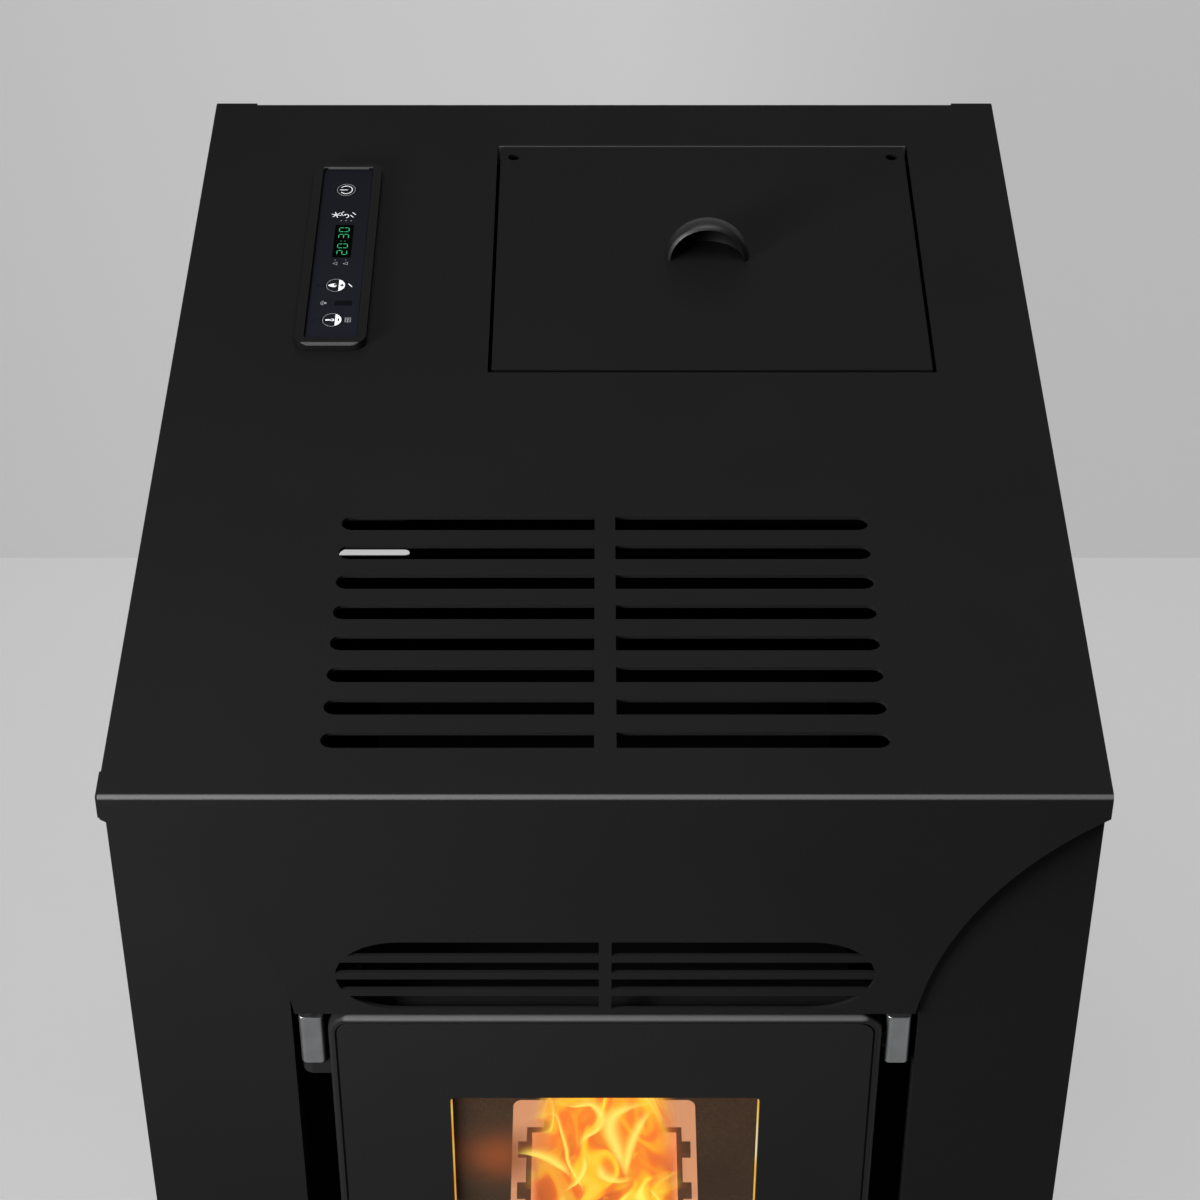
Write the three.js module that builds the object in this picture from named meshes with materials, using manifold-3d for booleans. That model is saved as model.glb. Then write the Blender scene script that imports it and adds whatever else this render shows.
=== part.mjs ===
// A pellet stove: a folded steel cabinet with a glazed door, a firebox with a burn pot, a hopper and an inclined
// auger behind it, a tube heat exchanger, an exhaust fan, a cross-flow blower and an ash drawer.
// Millimetres. +Z is up and the door faces -Y. The origin is on the floor, under the middle of the stove.
// While the pieces are made, y is counted from the front face towards the back.
import * as THREE from "three";
import { mergeVertices } from "three/addons/utils/BufferGeometryUtils.js";
import Module from "manifold-3d";

const wasm = await Module();
wasm.setup();

// ---- Sizes ----
const fit = 0.3; // air between pieces that touch
const seam = 3; // gap between neighbouring front panels
const sheet = 2; // folded cover, sides, back and hopper
const cabinetWidth = 460;
const cabinetDepth = 597; // front face to the back edge of the top cover
const cabinetHeight = 900;
const coverBend = 3; // outer radius of the fold between top and front
const fasciaHeight = 143;
const fasciaBottomWidth = 298;
const fasciaShoulder = 14; // straight side above the curved cut-out
const fasciaCurve = 184; // radius of the curved cut-outs
const returnDepth = 18; // small flange that closes the fascia's upper corners
const returnProud = 1; // what the left one stands out from the side

// Air slots in the top and in the fascia
const slotRows = 8;
const slotPitch = 22.9;
const slotHeight = 10.8;
const slotWidth = 263; // over both halves
const slotBar = 10.3; // web between the halves
const firstSlot = 38.2; // from the front face to the first row
const ovalTop = 94; // below the top face
const ovalHeight = 45.7;
const ovalWidth = 256.6;
const ovalEnd = 30.6; // length of each elliptical end
const ovalBar = 4.4;
const ovalBarCount = 3;
const ovalWeb = 6;

// Hopper lid and its pull
const lidWidth = 234;
const lidDepth = 220.5;
const lidCentreX = 57;
const lidFromBack = 46.7; // lid's back edge to the back of the cover
const lidSideGap = 2;
const lidFrontGap = 3;
const lidRearGap = 1.5;
const lidFlange = 9.5;
const lidRelief = 9; // the side flanges start this far behind the lid's front
const lidScrewRadius = 3.3;
const lidScrewInset = 7.5;
const lidAxisInset = 10.9; // hinge axis in front of the lid's back edge
const lidAxisDrop = 5; // hinge axis below the top face
const lidRodRadius = 2;
const lidRodHead = 2.7;
const pullRadius = 24.3;
const pullWall = 3.7;
const pullFromLidFront = 101; // to the pull's open face

// Control panel
const bezelWidth = 38.5;
const bezelLength = 179;
const bezelCentreX = -146.8;
const bezelFront = 346;
const bezelRise = 5;
const bezelRim = 5;
const bezelCorner = 8;
const bezelSkirt = 10; // depth below the top face
const overlayThick = 2;
const ledgeWidth = 2;
const keyRadius = 6;
const keyFlange = 1; // how far a key's lower rim reaches under the overlay
const keyTravel = 0.6;
const keyDistances = [23.3, 56.2, 152.1]; // key centres behind the bezel's front end
const keyNames = ["key_down", "key_up", "key_power"];

// Side panels and back
const columnInner = 151; // half distance between the columns
const columnRecess = 2.3; // column's inner edge behind the front face
const columnSlant = 10.7; // how much further back its outer edge is
const columnReturn = 23.7; // back edge of the column's inner flange
const rearFlange = 24;
const ventSlot = 6;
const ventPitch = 15;
const ventRows = 8;
const ventTop = 233; // below the top face
const ventInner = 128;
const ventOuter = 202;
const lowVentRows = 5;
const lowVentTop = 135; // above the floor
const lowVentInner = 50;
const lowVentOuter = 122;

// Base and feet
const baseHeight = 30; // floor to the underside of the tray
const trayThick = 3;
const trayRim = 24;
const footRadius = 19;
const footPad = 10;
const footStem = 5;
const footNut = 9;
const footInset = 45;

// Front frame, door and lower panels
const frameThick = 3;
const frameHalf = 160;
const mouthHalf = 105;
const mouthMargin = 20; // door edge to the firebox mouth, top and bottom
const doorHalf = 134;
const doorShare = 7 / 15; // of the cabinet's height
const doorSkin = 3;
const doorCorner = 11;
const doorEdge = 3; // rounding of the front edge
const grooveInset = 3.4; // fine groove round the front, from the door's edge
const grooveWidth = 1.1;
const grooveDepth = 0.8;
const doorBack = 15.7; // back face of the door's rim
const doorRim = 16;
const windowWidth = 152.6;
const windowMargin = 57.4; // window to the door's top and bottom
const windowCorner = 3;
const glassThick = 4;
const glassLap = 10;
const retainerThick = 2.5;
const retainerLap = 8;
const gasketWidth = 8;
const handleX = 108;
const handleLength = 150;
const handleRise = 211; // door's bottom edge to the middle of the handle
const handleRadius = 7;
const handleReach = 42;
const postRadius = 4;
const panelCorner = 3;
const panelEdge = 1.5;
const drawerFrontHeight = 91;
const lowerPanelBottom = 36;

// Door hinges and catch
const hingeGapX = 8; // hinge axis beside the door's edge
const hingeDepth = 8; // hinge axis behind the front face
const hingeBlockWidth = 12;
const hingeBlockHeight = 32;
const hingeBlockFront = 2;
const hingeBlockCorner = 3;
const hingeDrop = 2; // block below the door's top
const hingeArm = 7;
const hingePinRadius = 3;
const hingeHeadRadius = 4.5;
const hingeHeadThick = 1.5;
const plungerRadius = 3;
const plungerLength = 7;
const plungerTravel = 2.5;

// Firebox
const fireHalf = 120;
const fireBack = 262;
const fireBelowDoor = 9; // firebox top below the door's top edge
const fireAboveDoor = 11; // firebox bottom above the door's bottom edge
const fireWall = 4;
const liningThick = 18;
const sideLining = 12;
const baffleThick = 12;
const baffleFront = 80;
const baffleBelowTop = 55;
const ashSlotInner = 62;
const ashSlotOuter = 100;
const ashSlotFront = 60;
const ashSlotBack = 230;
const seatRise = 125; // firebox bottom to the top of the burn pot's seat
const seatHalf = 53;
const seatFront = 73;
const seatBack = 198;
const seatWall = 3;
const seatCorner = 5;
const potHalf = 44.5;
const potFront = 83;
const potBack = 173.6;
const potWall = 3;
const potRim = 4;
const potDepth = 65;
const potTaper = 5;
const potLug = 5;
const potLugLength = 9;
const potLugCount = 3;
const potHole = 2.5;
const potHolePitch = 17;
const potHoleCount = 4;

// Intake, igniter, exchanger and exhaust
const intakeRadius = 25;
const intakeWall = 1.5;
const intakeBelowSeat = 70;
const intakeLow = 150; // height at the back panel
const intakeBend = 45;
const intakeDrop = 375; // y of the upright stretch
const intakeReach = 20; // behind the back panel
const igniterRadius = 6;
const igniterBelowSeat = 30;
const exchangerHalf = 112;
const exchangerDepth = 58;
const headerHeight = 45;
const tubeRadius = 17;
const tubeWall = 2;
const tubeInner = 48; // x of the inner pair of tubes
const tubePitch = 40;
const smokeBoxHeight = 95;
const fanBelowFire = 55;
const fanY = 298;
const fanInlet = 24;
const scrollWidth = 45;
const scrollSmall = 62;
const scrollLarge = 78;
const scrollWall = 2;
const scrollReach = 100; // fan axis to the outlet's end
const tongueAngle = 20; // degrees
const impellerRadius = 55;
const impellerBlades = 10;
const impellerBladeWidth = 26;
const fanHub = 9;
const motorRadius = 34;
const motorRoom = 18.4; // motor to the side panel
const shaftRadius = 4;
const spigotRadius = 40;
const spigotWall = 2;
const spigotFlange = 3;
const spigotReach = 40;

// Feed
const feedAngle = 45; // degrees
const feedY = 285; // auger axis meets the chute axis here
const feedAboveSeat = 130;
const augerTubeRadius = 26;
const augerTubeLength = 262;
const augerWall = 2;
const augerRadius = 22;
const augerShaft = 8;
const augerPitch = 38;
const flightThick = 3;
const chuteHalf = 27;
const chuteWall = 2;
const chuteLength = 113; // auger axis to the mouth
const chuteHead = 30;
const gearLength = 40;
const gearHalf = 32;
const gearMotorLength = 30;
const gearMotorRadius = 26;

// Hopper
const hopperSide = 4; // lid edge to the hopper's inner wall
const hopperFrontGap = 4.8;
const hopperCollar = 100; // depth of the straight part, below the top face
const spoutBelowFeed = 92;
const spoutHalf = 22;
const spoutFront = 432;
const spoutBack = 488;
const guardThick = 2;
const guardRim = 10;
const guardBars = 5;
const guardBar = 6;

// Blower, ash chamber, electrics
const blowerY = 150;
const blowerZ = 115;
const blowerHalf = 118;
const blowerDrum = 30;
const blowerDrumInner = 22;
const blowerCase = 38;
const blowerBelowAsh = 45;
const blowerBlades = 16;
const blowerMotorRadius = 30;
const blowerMotorLength = 42;
const chamberHalf = 118;
const chamberBack = 255;
const chamberRise = 5; // above the bottom of the drawer's front
const drawerHalf = 106;
const drawerWall = 1.5;
const drawerHeight = 76;
const drawerBack = 248;
const boardFront = 380;
const boardLength = 160;
const boardBottom = 90;
const boardHeight = 150;
const boardStandoff = 8;
const boardThick = 1.6;
const boardScrewInset = 8;
const transformerDepth = 22;
const relayDepth = 12;
const capacitorRadius = 8;
const inletX = 150;
const inletZ = 160;
const inletWidth = 48;
const inletHeight = 62;
const inletDepth = 26;
const socketDepth = 16;
const rockerWidth = 19;
const rockerHeight = 12;
const rockerAngle = 7; // degrees each way

// ---- Finishes ----
function finish(color, roughness, metalness) {
  return new THREE.MeshStandardMaterial({ color, roughness, metalness });
}
const blackPaint = finish(0x242424, 0.55, 0.2);
const columnPaint = finish(0x1c1c1d, 0.6, 0.2);
const castIron = finish(0x3a3734, 0.8, 0.6);
const zinc = finish(0x9a9c9e, 0.4, 0.9);
const bareSteel = finish(0x8d8f91, 0.35, 0.9);
const vermiculite = finish(0xc9b08a, 0.95, 0);
const smokedGlass = finish(0x3c322d, 0.05, 0);
const rope = finish(0x6d6a64, 0.95, 0);
const blackPlastic = finish(0x161618, 0.4, 0);
const keyPlastic = finish(0x1a1b20, 0.35, 0);
const rubber = finish(0x101010, 0.8, 0);
const boardGreen = finish(0x1d5a34, 0.5, 0);

// ---- Solids ----
const xAxis = new THREE.Vector3(1, 0, 0);
const yAxis = new THREE.Vector3(0, 1, 0);
const zAxis = new THREE.Vector3(0, 0, 1);
const planes = {
  xy: new THREE.Matrix4(),
  xz: new THREE.Matrix4().makeBasis(xAxis, zAxis, yAxis.clone().negate()),
  yz: new THREE.Matrix4().makeBasis(yAxis, zAxis, xAxis),
};

// A closed geometry as a solid that can be cut and joined.
function solid(geometry) {
  const bare = geometry.clone();
  bare.deleteAttribute("normal");
  bare.deleteAttribute("uv");
  const merged = mergeVertices(bare, 1e-3);
  const corners = Array.from(merged.index.array);
  const kept = [];
  for (let i = 0; i < corners.length; i += 3) {
    const [a, b, c] = corners.slice(i, i + 3);
    if (a !== b && b !== c && c !== a) kept.push(a, b, c);
  }
  const vertProperties = merged.attributes.position.array;
  return new wasm.Manifold(new wasm.Mesh({ numProp: 3, vertProperties, triVerts: new Uint32Array(kept) }));
}

function join(first, ...others) {
  return others.reduce((body, other) => body.add(other), first);
}

function cut(body, ...tools) {
  return tools.reduce((left, tool) => left.subtract(tool), body);
}

// A box from pairs of limits.
function block([x0, x1], [y0, y1], [z0, z1]) {
  const geometry = new THREE.BoxGeometry(x1 - x0, y1 - y0, z1 - z0);
  geometry.translate((x0 + x1) / 2, (y0 + y1) / 2, (z0 + z1) / 2);
  return solid(geometry);
}

// A round bar along one axis, centred on the two other coordinates.
function rod(axis, radius, [from, to], [u, v], sides = 24, endRadius = radius) {
  const geometry = new THREE.CylinderGeometry(endRadius, radius, to - from, sides);
  const middle = (from + to) / 2;
  if (axis === "x") geometry.rotateZ(-Math.PI / 2).translate(middle, u, v);
  if (axis === "y") geometry.translate(u, middle, v);
  if (axis === "z") geometry.rotateX(Math.PI / 2).translate(u, v, middle);
  return solid(geometry);
}

// An outline drawn in one plane and extruded along the third axis.
function extruded(plane, shape, [from, to], curveSegments = 4) {
  const settings = { depth: to - from, bevelEnabled: false, curveSegments };
  const geometry = new THREE.ExtrudeGeometry(shape, settings);
  geometry.applyMatrix4(planes[plane]);
  if (plane === "xy") geometry.translate(0, 0, from);
  if (plane === "xz") geometry.translate(0, to, 0);
  if (plane === "yz") geometry.translate(from, 0, 0);
  return solid(geometry);
}

function outline(points) {
  return new THREE.Shape(points.map(([u, v]) => new THREE.Vector2(u, v)));
}

function roundedRectangle([u0, u1], [v0, v1], r) {
  const quarter = Math.PI / 2;
  const shape = new THREE.Shape();
  shape.moveTo(u0 + r, v0);
  shape.absarc(u1 - r, v0 + r, r, -quarter, 0);
  shape.absarc(u1 - r, v1 - r, r, 0, quarter);
  shape.absarc(u0 + r, v1 - r, r, quarter, 2 * quarter);
  shape.absarc(u0 + r, v0 + r, r, 2 * quarter, 3 * quarter);
  return shape;
}

// A slot from u0 to u1 with the chosen ends rounded.
function slotOutline([u0, u1], v, height, roundLeft, roundRight) {
  const r = height / 2;
  const shape = new THREE.Shape();
  shape.moveTo(u0 + (roundLeft ? r : 0), v - r);
  shape.lineTo(u1 - (roundRight ? r : 0), v - r);
  if (roundRight) shape.absarc(u1 - r, v, r, -Math.PI / 2, Math.PI / 2);
  else shape.lineTo(u1, v + r);
  shape.lineTo(u0 + (roundLeft ? r : 0), v + r);
  if (roundLeft) shape.absarc(u0 + r, v, r, Math.PI / 2, 1.5 * Math.PI);
  return shape;
}

// A body with a rectangular section that changes from level to level: each section is [x0, x1, y0, y1, z].
function loft(sections) {
  const positions = sections.flatMap(([x0, x1, y0, y1, z]) => [x0, y0, z, x1, y0, z, x1, y1, z, x0, y1, z]);
  const index = [0, 2, 1, 0, 3, 2];
  for (let level = 0; level < sections.length - 1; level++) {
    for (let side = 0; side < 4; side++) {
      const a = 4 * level + side;
      const b = 4 * level + ((side + 1) % 4);
      index.push(a, b, b + 4, a, b + 4, a + 4);
    }
  }
  const top = 4 * (sections.length - 1);
  index.push(top, top + 1, top + 2, top, top + 2, top + 3);
  const geometry = new THREE.BufferGeometry();
  geometry.setAttribute("position", new THREE.Float32BufferAttribute(positions, 3));
  geometry.setIndex(index);
  return solid(geometry);
}

function moved(body, x, y, z) {
  return body.translate([x, y, z]);
}

// ---- The scene ----
const stove = new THREE.Group();
stove.name = "pellet_stove";
stove.position.y = (handleReach - cabinetDepth - spigotReach) / 2;

function addPiece(name, body, material, parent = stove) {
  const made = body.getMesh();
  const geometry = new THREE.BufferGeometry();
  geometry.setAttribute("position", new THREE.BufferAttribute(made.vertProperties, 3));
  geometry.setIndex(new THREE.BufferAttribute(made.triVerts, 1));
  geometry.computeVertexNormals();
  const mesh = new THREE.Mesh(geometry, material);
  mesh.name = name;
  parent.add(mesh);
  return mesh;
}

// ---- Places worked out from the sizes ----
const halfWidth = cabinetWidth / 2;
const coverUnder = cabinetHeight - sheet;
const fasciaBottom = cabinetHeight - fasciaHeight;
const doorTop = fasciaBottom - seam;
const doorHeight = cabinetHeight * doorShare;
const doorBottom = doorTop - doorHeight;
const handleCentre = doorBottom + handleRise;
const drawerTop = doorBottom - seam;
const drawerBottom = drawerTop - drawerFrontHeight;
const lowerPanelTop = drawerBottom - seam;
const chamberBottom = drawerBottom + chamberRise;
const blowerTop = chamberBottom - blowerBelowAsh;
const fireBottom = doorBottom + fireAboveDoor;
const fireTop = doorTop - fireBelowDoor;
const seatHeight = fireBottom + seatRise;
const intakeTop = seatHeight - intakeBelowSeat;
const igniterHeight = seatHeight - igniterBelowSeat;
const fanHeight = fireBottom - fanBelowFire;
const feedZ = seatHeight + feedAboveSeat;
const spoutTop = feedZ - spoutBelowFeed;
const hopperShoulder = cabinetHeight - hopperCollar;
const trayTop = baseHeight + trayThick;
const frameFront = columnReturn + fit;
const frameBack = frameFront + frameThick;
const backInner = cabinetDepth - sheet;
const sideInner = halfWidth - sheet;
const shellFront = frameBack + fit;
const lidBack = cabinetDepth - lidFromBack;
const lidFront = lidBack - lidDepth;
const lidLeft = lidCentreX - lidWidth / 2;
const lidRight = lidCentreX + lidWidth / 2;
const lidAxisY = lidBack - lidAxisInset;
const lidAxisZ = cabinetHeight - lidAxisDrop;
const hopperLeft = lidLeft - hopperSide;
const hopperRight = lidRight + hopperSide;
const hopperFront = lidFront - hopperFrontGap;
const hopperBack = lidBack + lidRearGap + sheet + fit + 1;
const hingeX = -doorHalf - hingeGapX;
const exchangerFront = fireBack + fit;
const exchangerBack = exchangerFront + exchangerDepth;
const tubeY = (exchangerFront + exchangerBack) / 2;
const liningTop = fireTop - baffleBelowTop;
const fireInner = fireHalf - fireWall;
const fireFloor = fireBottom + fireWall;
const liningFront = fireBack - fireWall - fit - liningThick;
const feedTilt = THREE.MathUtils.degToRad(feedAngle);

// The feed's own frame: z runs up along the auger, y points up and back, and the chute runs down along -y.
const feedMatrix = new THREE.Matrix4().makeRotationX(feedTilt).setPosition(0, feedY, feedZ);

// A box in the feed's frame, given in the stove's frame so that it can cut other pieces.
function feedBlock([x0, x1], [y0, y1], [z0, z1]) {
  const geometry = new THREE.BoxGeometry(x1 - x0, y1 - y0, z1 - z0);
  geometry.translate((x0 + x1) / 2, (y0 + y1) / 2, (z0 + z1) / 2);
  return solid(geometry.applyMatrix4(feedMatrix));
}

function feedRod(radius, [from, to], sides = 24) {
  const geometry = new THREE.CylinderGeometry(radius, radius, to - from, sides).rotateX(Math.PI / 2);
  geometry.translate(0, 0, (from + to) / 2);
  return solid(geometry.applyMatrix4(feedMatrix));
}

// ---- Cabinet ----
function slotTools() {
  const tools = [];
  for (let row = 0; row < slotRows; row++) {
    const y = firstSlot + row * slotPitch;
    const left = slotOutline([-slotWidth / 2, -slotBar / 2], y, slotHeight, true, false);
    const right = slotOutline([slotBar / 2, slotWidth / 2], y, slotHeight, false, true);
    for (const half of [left, right]) tools.push(extruded("xy", half, [coverUnder - 1, cabinetHeight + 1], 3));
  }
  return tools;
}

// The oval grille of the fascia, less its bars.
function ovalTool() {
  const straight = ovalWidth / 2 - ovalEnd;
  const middle = cabinetHeight - ovalTop - ovalHeight / 2;
  const shape = new THREE.Shape();
  shape.moveTo(-straight, middle - ovalHeight / 2);
  shape.absellipse(straight, middle, ovalEnd, ovalHeight / 2, -Math.PI / 2, Math.PI / 2);
  shape.absellipse(-straight, middle, ovalEnd, ovalHeight / 2, Math.PI / 2, 1.5 * Math.PI);
  const reach = [-1, sheet + 1];
  const bars = [block([-ovalWeb / 2, ovalWeb / 2], reach, [middle - ovalHeight, middle + ovalHeight])];
  for (let bar = 1; bar <= ovalBarCount; bar++) {
    const z = middle - ovalHeight / 2 + (bar * ovalHeight) / (ovalBarCount + 1);
    bars.push(block([-ovalWidth, ovalWidth], reach, [z - ovalBar / 2, z + ovalBar / 2]));
  }
  return cut(extruded("xz", shape, reach, 8), ...bars);
}

// A disc that cuts the fascia's side: it passes through the end of the shoulder and the bottom corner.
function fasciaTool(side) {
  const upper = new THREE.Vector2(halfWidth, cabinetHeight - fasciaShoulder);
  const lower = new THREE.Vector2(fasciaBottomWidth / 2, fasciaBottom);
  const chord = lower.clone().sub(upper);
  const middle = upper.clone().add(lower).multiplyScalar(0.5);
  const rise = Math.sqrt(fasciaCurve ** 2 - chord.lengthSq() / 4);
  const out = new THREE.Vector2(-chord.y, chord.x).normalize().multiplyScalar(rise);
  const centre = middle.add(out);
  return rod("y", fasciaCurve, [-1, sheet + 1], [side * centre.x, centre.y], 120);
}

// The sheet behind the lid turns down with a rounded edge.
function lidTurnDown() {
  const y = lidBack + lidRearGap;
  const shape = new THREE.Shape();
  shape.moveTo(y + 2 * sheet, cabinetHeight);
  shape.lineTo(y + sheet, cabinetHeight);
  shape.absarc(y + sheet, cabinetHeight - sheet, sheet, Math.PI / 2, Math.PI);
  shape.lineTo(y, cabinetHeight - lidFlange);
  shape.lineTo(y + sheet, cabinetHeight - lidFlange);
  shape.lineTo(y + sheet, coverUnder);
  shape.lineTo(y + 2 * sheet, coverUnder);
  return extruded("yz", shape, [lidLeft - lidSideGap, lidRight + lidSideGap]);
}

function bezelOpening(margin) {
  const half = bezelWidth / 2 - bezelRim + sheet + margin;
  const inset = bezelRim - sheet - margin;
  return [
    [bezelCentreX - half, bezelCentreX + half],
    [bezelFront + inset, bezelFront + bezelLength - inset],
  ];
}

function makeTopCover() {
  const profile = new THREE.Shape();
  profile.moveTo(cabinetDepth, cabinetHeight);
  profile.lineTo(coverBend, cabinetHeight);
  profile.absarc(coverBend, cabinetHeight - coverBend, coverBend, Math.PI / 2, Math.PI);
  profile.lineTo(0, fasciaBottom);
  profile.lineTo(sheet, fasciaBottom);
  profile.lineTo(sheet, cabinetHeight - coverBend);
  profile.absarc(coverBend, cabinetHeight - coverBend, coverBend - sheet, Math.PI, Math.PI / 2, true);
  profile.lineTo(cabinetDepth, coverUnder);
  let cover = extruded("yz", profile, [-halfWidth, halfWidth]);
  const lidHole = block(
    [lidLeft - lidSideGap, lidRight + lidSideGap],
    [lidFront - lidFrontGap, lidBack + lidRearGap + sheet],
    [coverUnder - 1, cabinetHeight + 1],
  );
  const bezelHole = block(...bezelOpening(fit), [coverUnder - 1, cabinetHeight + 1]);
  cover = cut(cover, fasciaTool(-1), fasciaTool(1), ovalTool(), lidHole, bezelHole, ...slotTools());
  const returnZ = [cabinetHeight - fasciaShoulder, coverUnder + sheet / 2];
  const left = block([-halfWidth - returnProud, -halfWidth - returnProud + sheet], [sheet / 2, returnDepth], returnZ);
  const right = block([halfWidth - sheet, halfWidth], [sheet / 2, returnDepth], returnZ);
  addPiece("top_cover", join(cover, lidTurnDown(), left, right), blackPaint);
}

// One bent sheet: rear flange, side wall, slanted front column and its inner flange.
function makeSidePanel(name, side) {
  const slope = columnSlant / (halfWidth - columnInner);
  const back = cabinetDepth + fit + sheet;
  const inset = sheet * Math.hypot(1, slope);
  const slantAt = (x) => columnRecess + (x - columnInner) * slope;
  const points = [
    [halfWidth - rearFlange, back],
    [halfWidth, back],
    [halfWidth, slantAt(halfWidth)],
    [columnInner, columnRecess],
    [columnInner, columnReturn],
    [columnInner + sheet, columnReturn],
    [columnInner + sheet, slantAt(columnInner + sheet) + inset],
    [sideInner, slantAt(sideInner) + inset],
    [sideInner, back - sheet],
    [halfWidth - rearFlange, back - sheet],
  ].map(([x, y]) => [side * x, y]);
  const panel = extruded("xy", outline(points), [baseHeight, cabinetHeight - fit]);
  const under = block(
    [-cabinetWidth, cabinetWidth],
    [-1, cabinetDepth + fit / 2],
    [coverUnder - fit, cabinetHeight + 1],
  );
  const corner = block(
    [side > 0 ? sideInner - fit : -halfWidth - 1, side > 0 ? halfWidth + 1 : -sideInner + fit],
    [-1, returnDepth + fit],
    [cabinetHeight - fasciaShoulder - fit, cabinetHeight],
  );
  addPiece(name, cut(panel, under, corner), columnPaint);
}

function ventTools(rows, top, inner, outer, sides) {
  const tools = [];
  for (let row = 0; row < rows; row++) {
    const z = top - ventSlot / 2 - row * ventPitch;
    for (const side of sides) {
      const ends = side < 0 ? [-outer, -inner] : [inner, outer];
      const shape = slotOutline(ends, z, ventSlot, true, true);
      tools.push(extruded("xz", shape, [backInner - 1, cabinetDepth + 1], 2));
    }
  }
  return tools;
}

function makeBackPanel() {
  const wall = block(
    [-sideInner + fit, sideInner - fit],
    [backInner, cabinetDepth],
    [trayTop + fit, coverUnder - fit],
  );
  const reach = [backInner - 1, cabinetDepth + 1];
  const flueHole = rod("y", spigotRadius + fit, reach, [scrollCentreX(), flueZ()], 32);
  const intakeHole = rod("y", intakeRadius + fit, reach, [0, intakeLow], 32);
  const inletHole = block(
    [inletX - inletWidth / 2 + 2, inletX + inletWidth / 2 - 2],
    reach,
    [inletZ - inletHeight / 2 + 2, inletZ + inletHeight / 2 - 2],
  );
  const high = ventTools(ventRows, cabinetHeight - ventTop, ventInner, ventOuter, [-1, 1]);
  const low = ventTools(lowVentRows, lowVentTop, lowVentInner, lowVentOuter, [-1, 1]);
  addPiece("back_panel", cut(wall, flueHole, intakeHole, inletHole, ...high, ...low), blackPaint);
}

function footPlaces() {
  const x = halfWidth - footInset;
  const back = backInner - footInset;
  return [
    ["foot_front_left", -x, footInset + frameBack],
    ["foot_front_right", x, footInset + frameBack],
    ["foot_rear_left", -x, back],
    ["foot_rear_right", x, back],
  ];
}

function makeBase() {
  const outer = [
    [-sideInner + fit, sideInner - fit],
    [shellFront, backInner - fit],
  ];
  const body = block(...outer, [baseHeight, baseHeight + trayRim]);
  const inner = outer.map(([from, to]) => [from + sheet, to - sheet]);
  const hollow = block(...inner, [trayTop, baseHeight + trayRim + 1]);
  const drop = trayRim - trayThick;
  const holes = footPlaces().map(([, x, y]) => rod("z", footStem + fit, [baseHeight - 1, trayTop + drop], [x, y], 16));
  addPiece("base_tray", cut(body, hollow, ...holes), columnPaint);
  for (const [name, x, y] of footPlaces()) {
    const pad = rod("z", footRadius, [0, footPad], [0, 0], 24, footRadius - 2);
    const stem = rod("z", footStem, [footPad - 1, trayTop + 2 * footStem], [0, 0], 12);
    const nutBottom = baseHeight - fit - footNut + 1;
    const nut = rod("z", footNut, [nutBottom, baseHeight - fit], [0, 0], 6);
    const mesh = addPiece(name, join(pad, stem, nut), rubber);
    mesh.position.set(x, y, 0);
  }
}

// A plate whose front edges are rounded over, seen from the front as a rounded rectangle.
function softPlate([x0, x1], [z0, z1], corner, edge, depth) {
  const shape = roundedRectangle([x0 + edge, x1 - edge], [z0 + edge, z1 - edge], corner - edge);
  const settings = { depth, bevelThickness: edge, bevelSize: edge, bevelSegments: 3, curveSegments: 4 };
  const geometry = new THREE.ExtrudeGeometry(shape, settings).applyMatrix4(planes.xz);
  geometry.translate(0, depth + edge, 0);
  const behind = block([x0 - 1, x1 + 1], [depth, depth + 3 * edge], [z0 - 1, z1 + 1]);
  return cut(solid(geometry), behind);
}

// Flat sheet with a rim turned back to the front frame on all four sides.
function panPanel([z0, z1]) {
  const outer = softPlate([-doorHalf, doorHalf], [z0, z1], panelCorner, panelEdge, columnReturn);
  const inner = block([-doorHalf + sheet, doorHalf - sheet], [sheet, columnReturn + 1], [z0 + sheet, z1 - sheet]);
  return cut(outer, inner);
}

function makeFrontFrame() {
  const plate = block([-frameHalf, frameHalf], [frameFront, frameBack], [baseHeight, doorTop - sheet]);
  const reach = [frameFront - 1, frameBack + 1];
  const mouth = block([-mouthHalf, mouthHalf], reach, [doorBottom + mouthMargin, doorTop - mouthMargin]);
  const opening = block(
    [-drawerHalf - 1, drawerHalf + 1],
    reach,
    [chamberBottom + sheet + fit / 2, chamberBottom + sheet + drawerHeight + 2],
  );
  addPiece("front_frame", cut(plate, mouth, opening), columnPaint);
  addPiece("lower_front_panel", panPanel([lowerPanelBottom, lowerPanelTop]), blackPaint);
}

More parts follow.
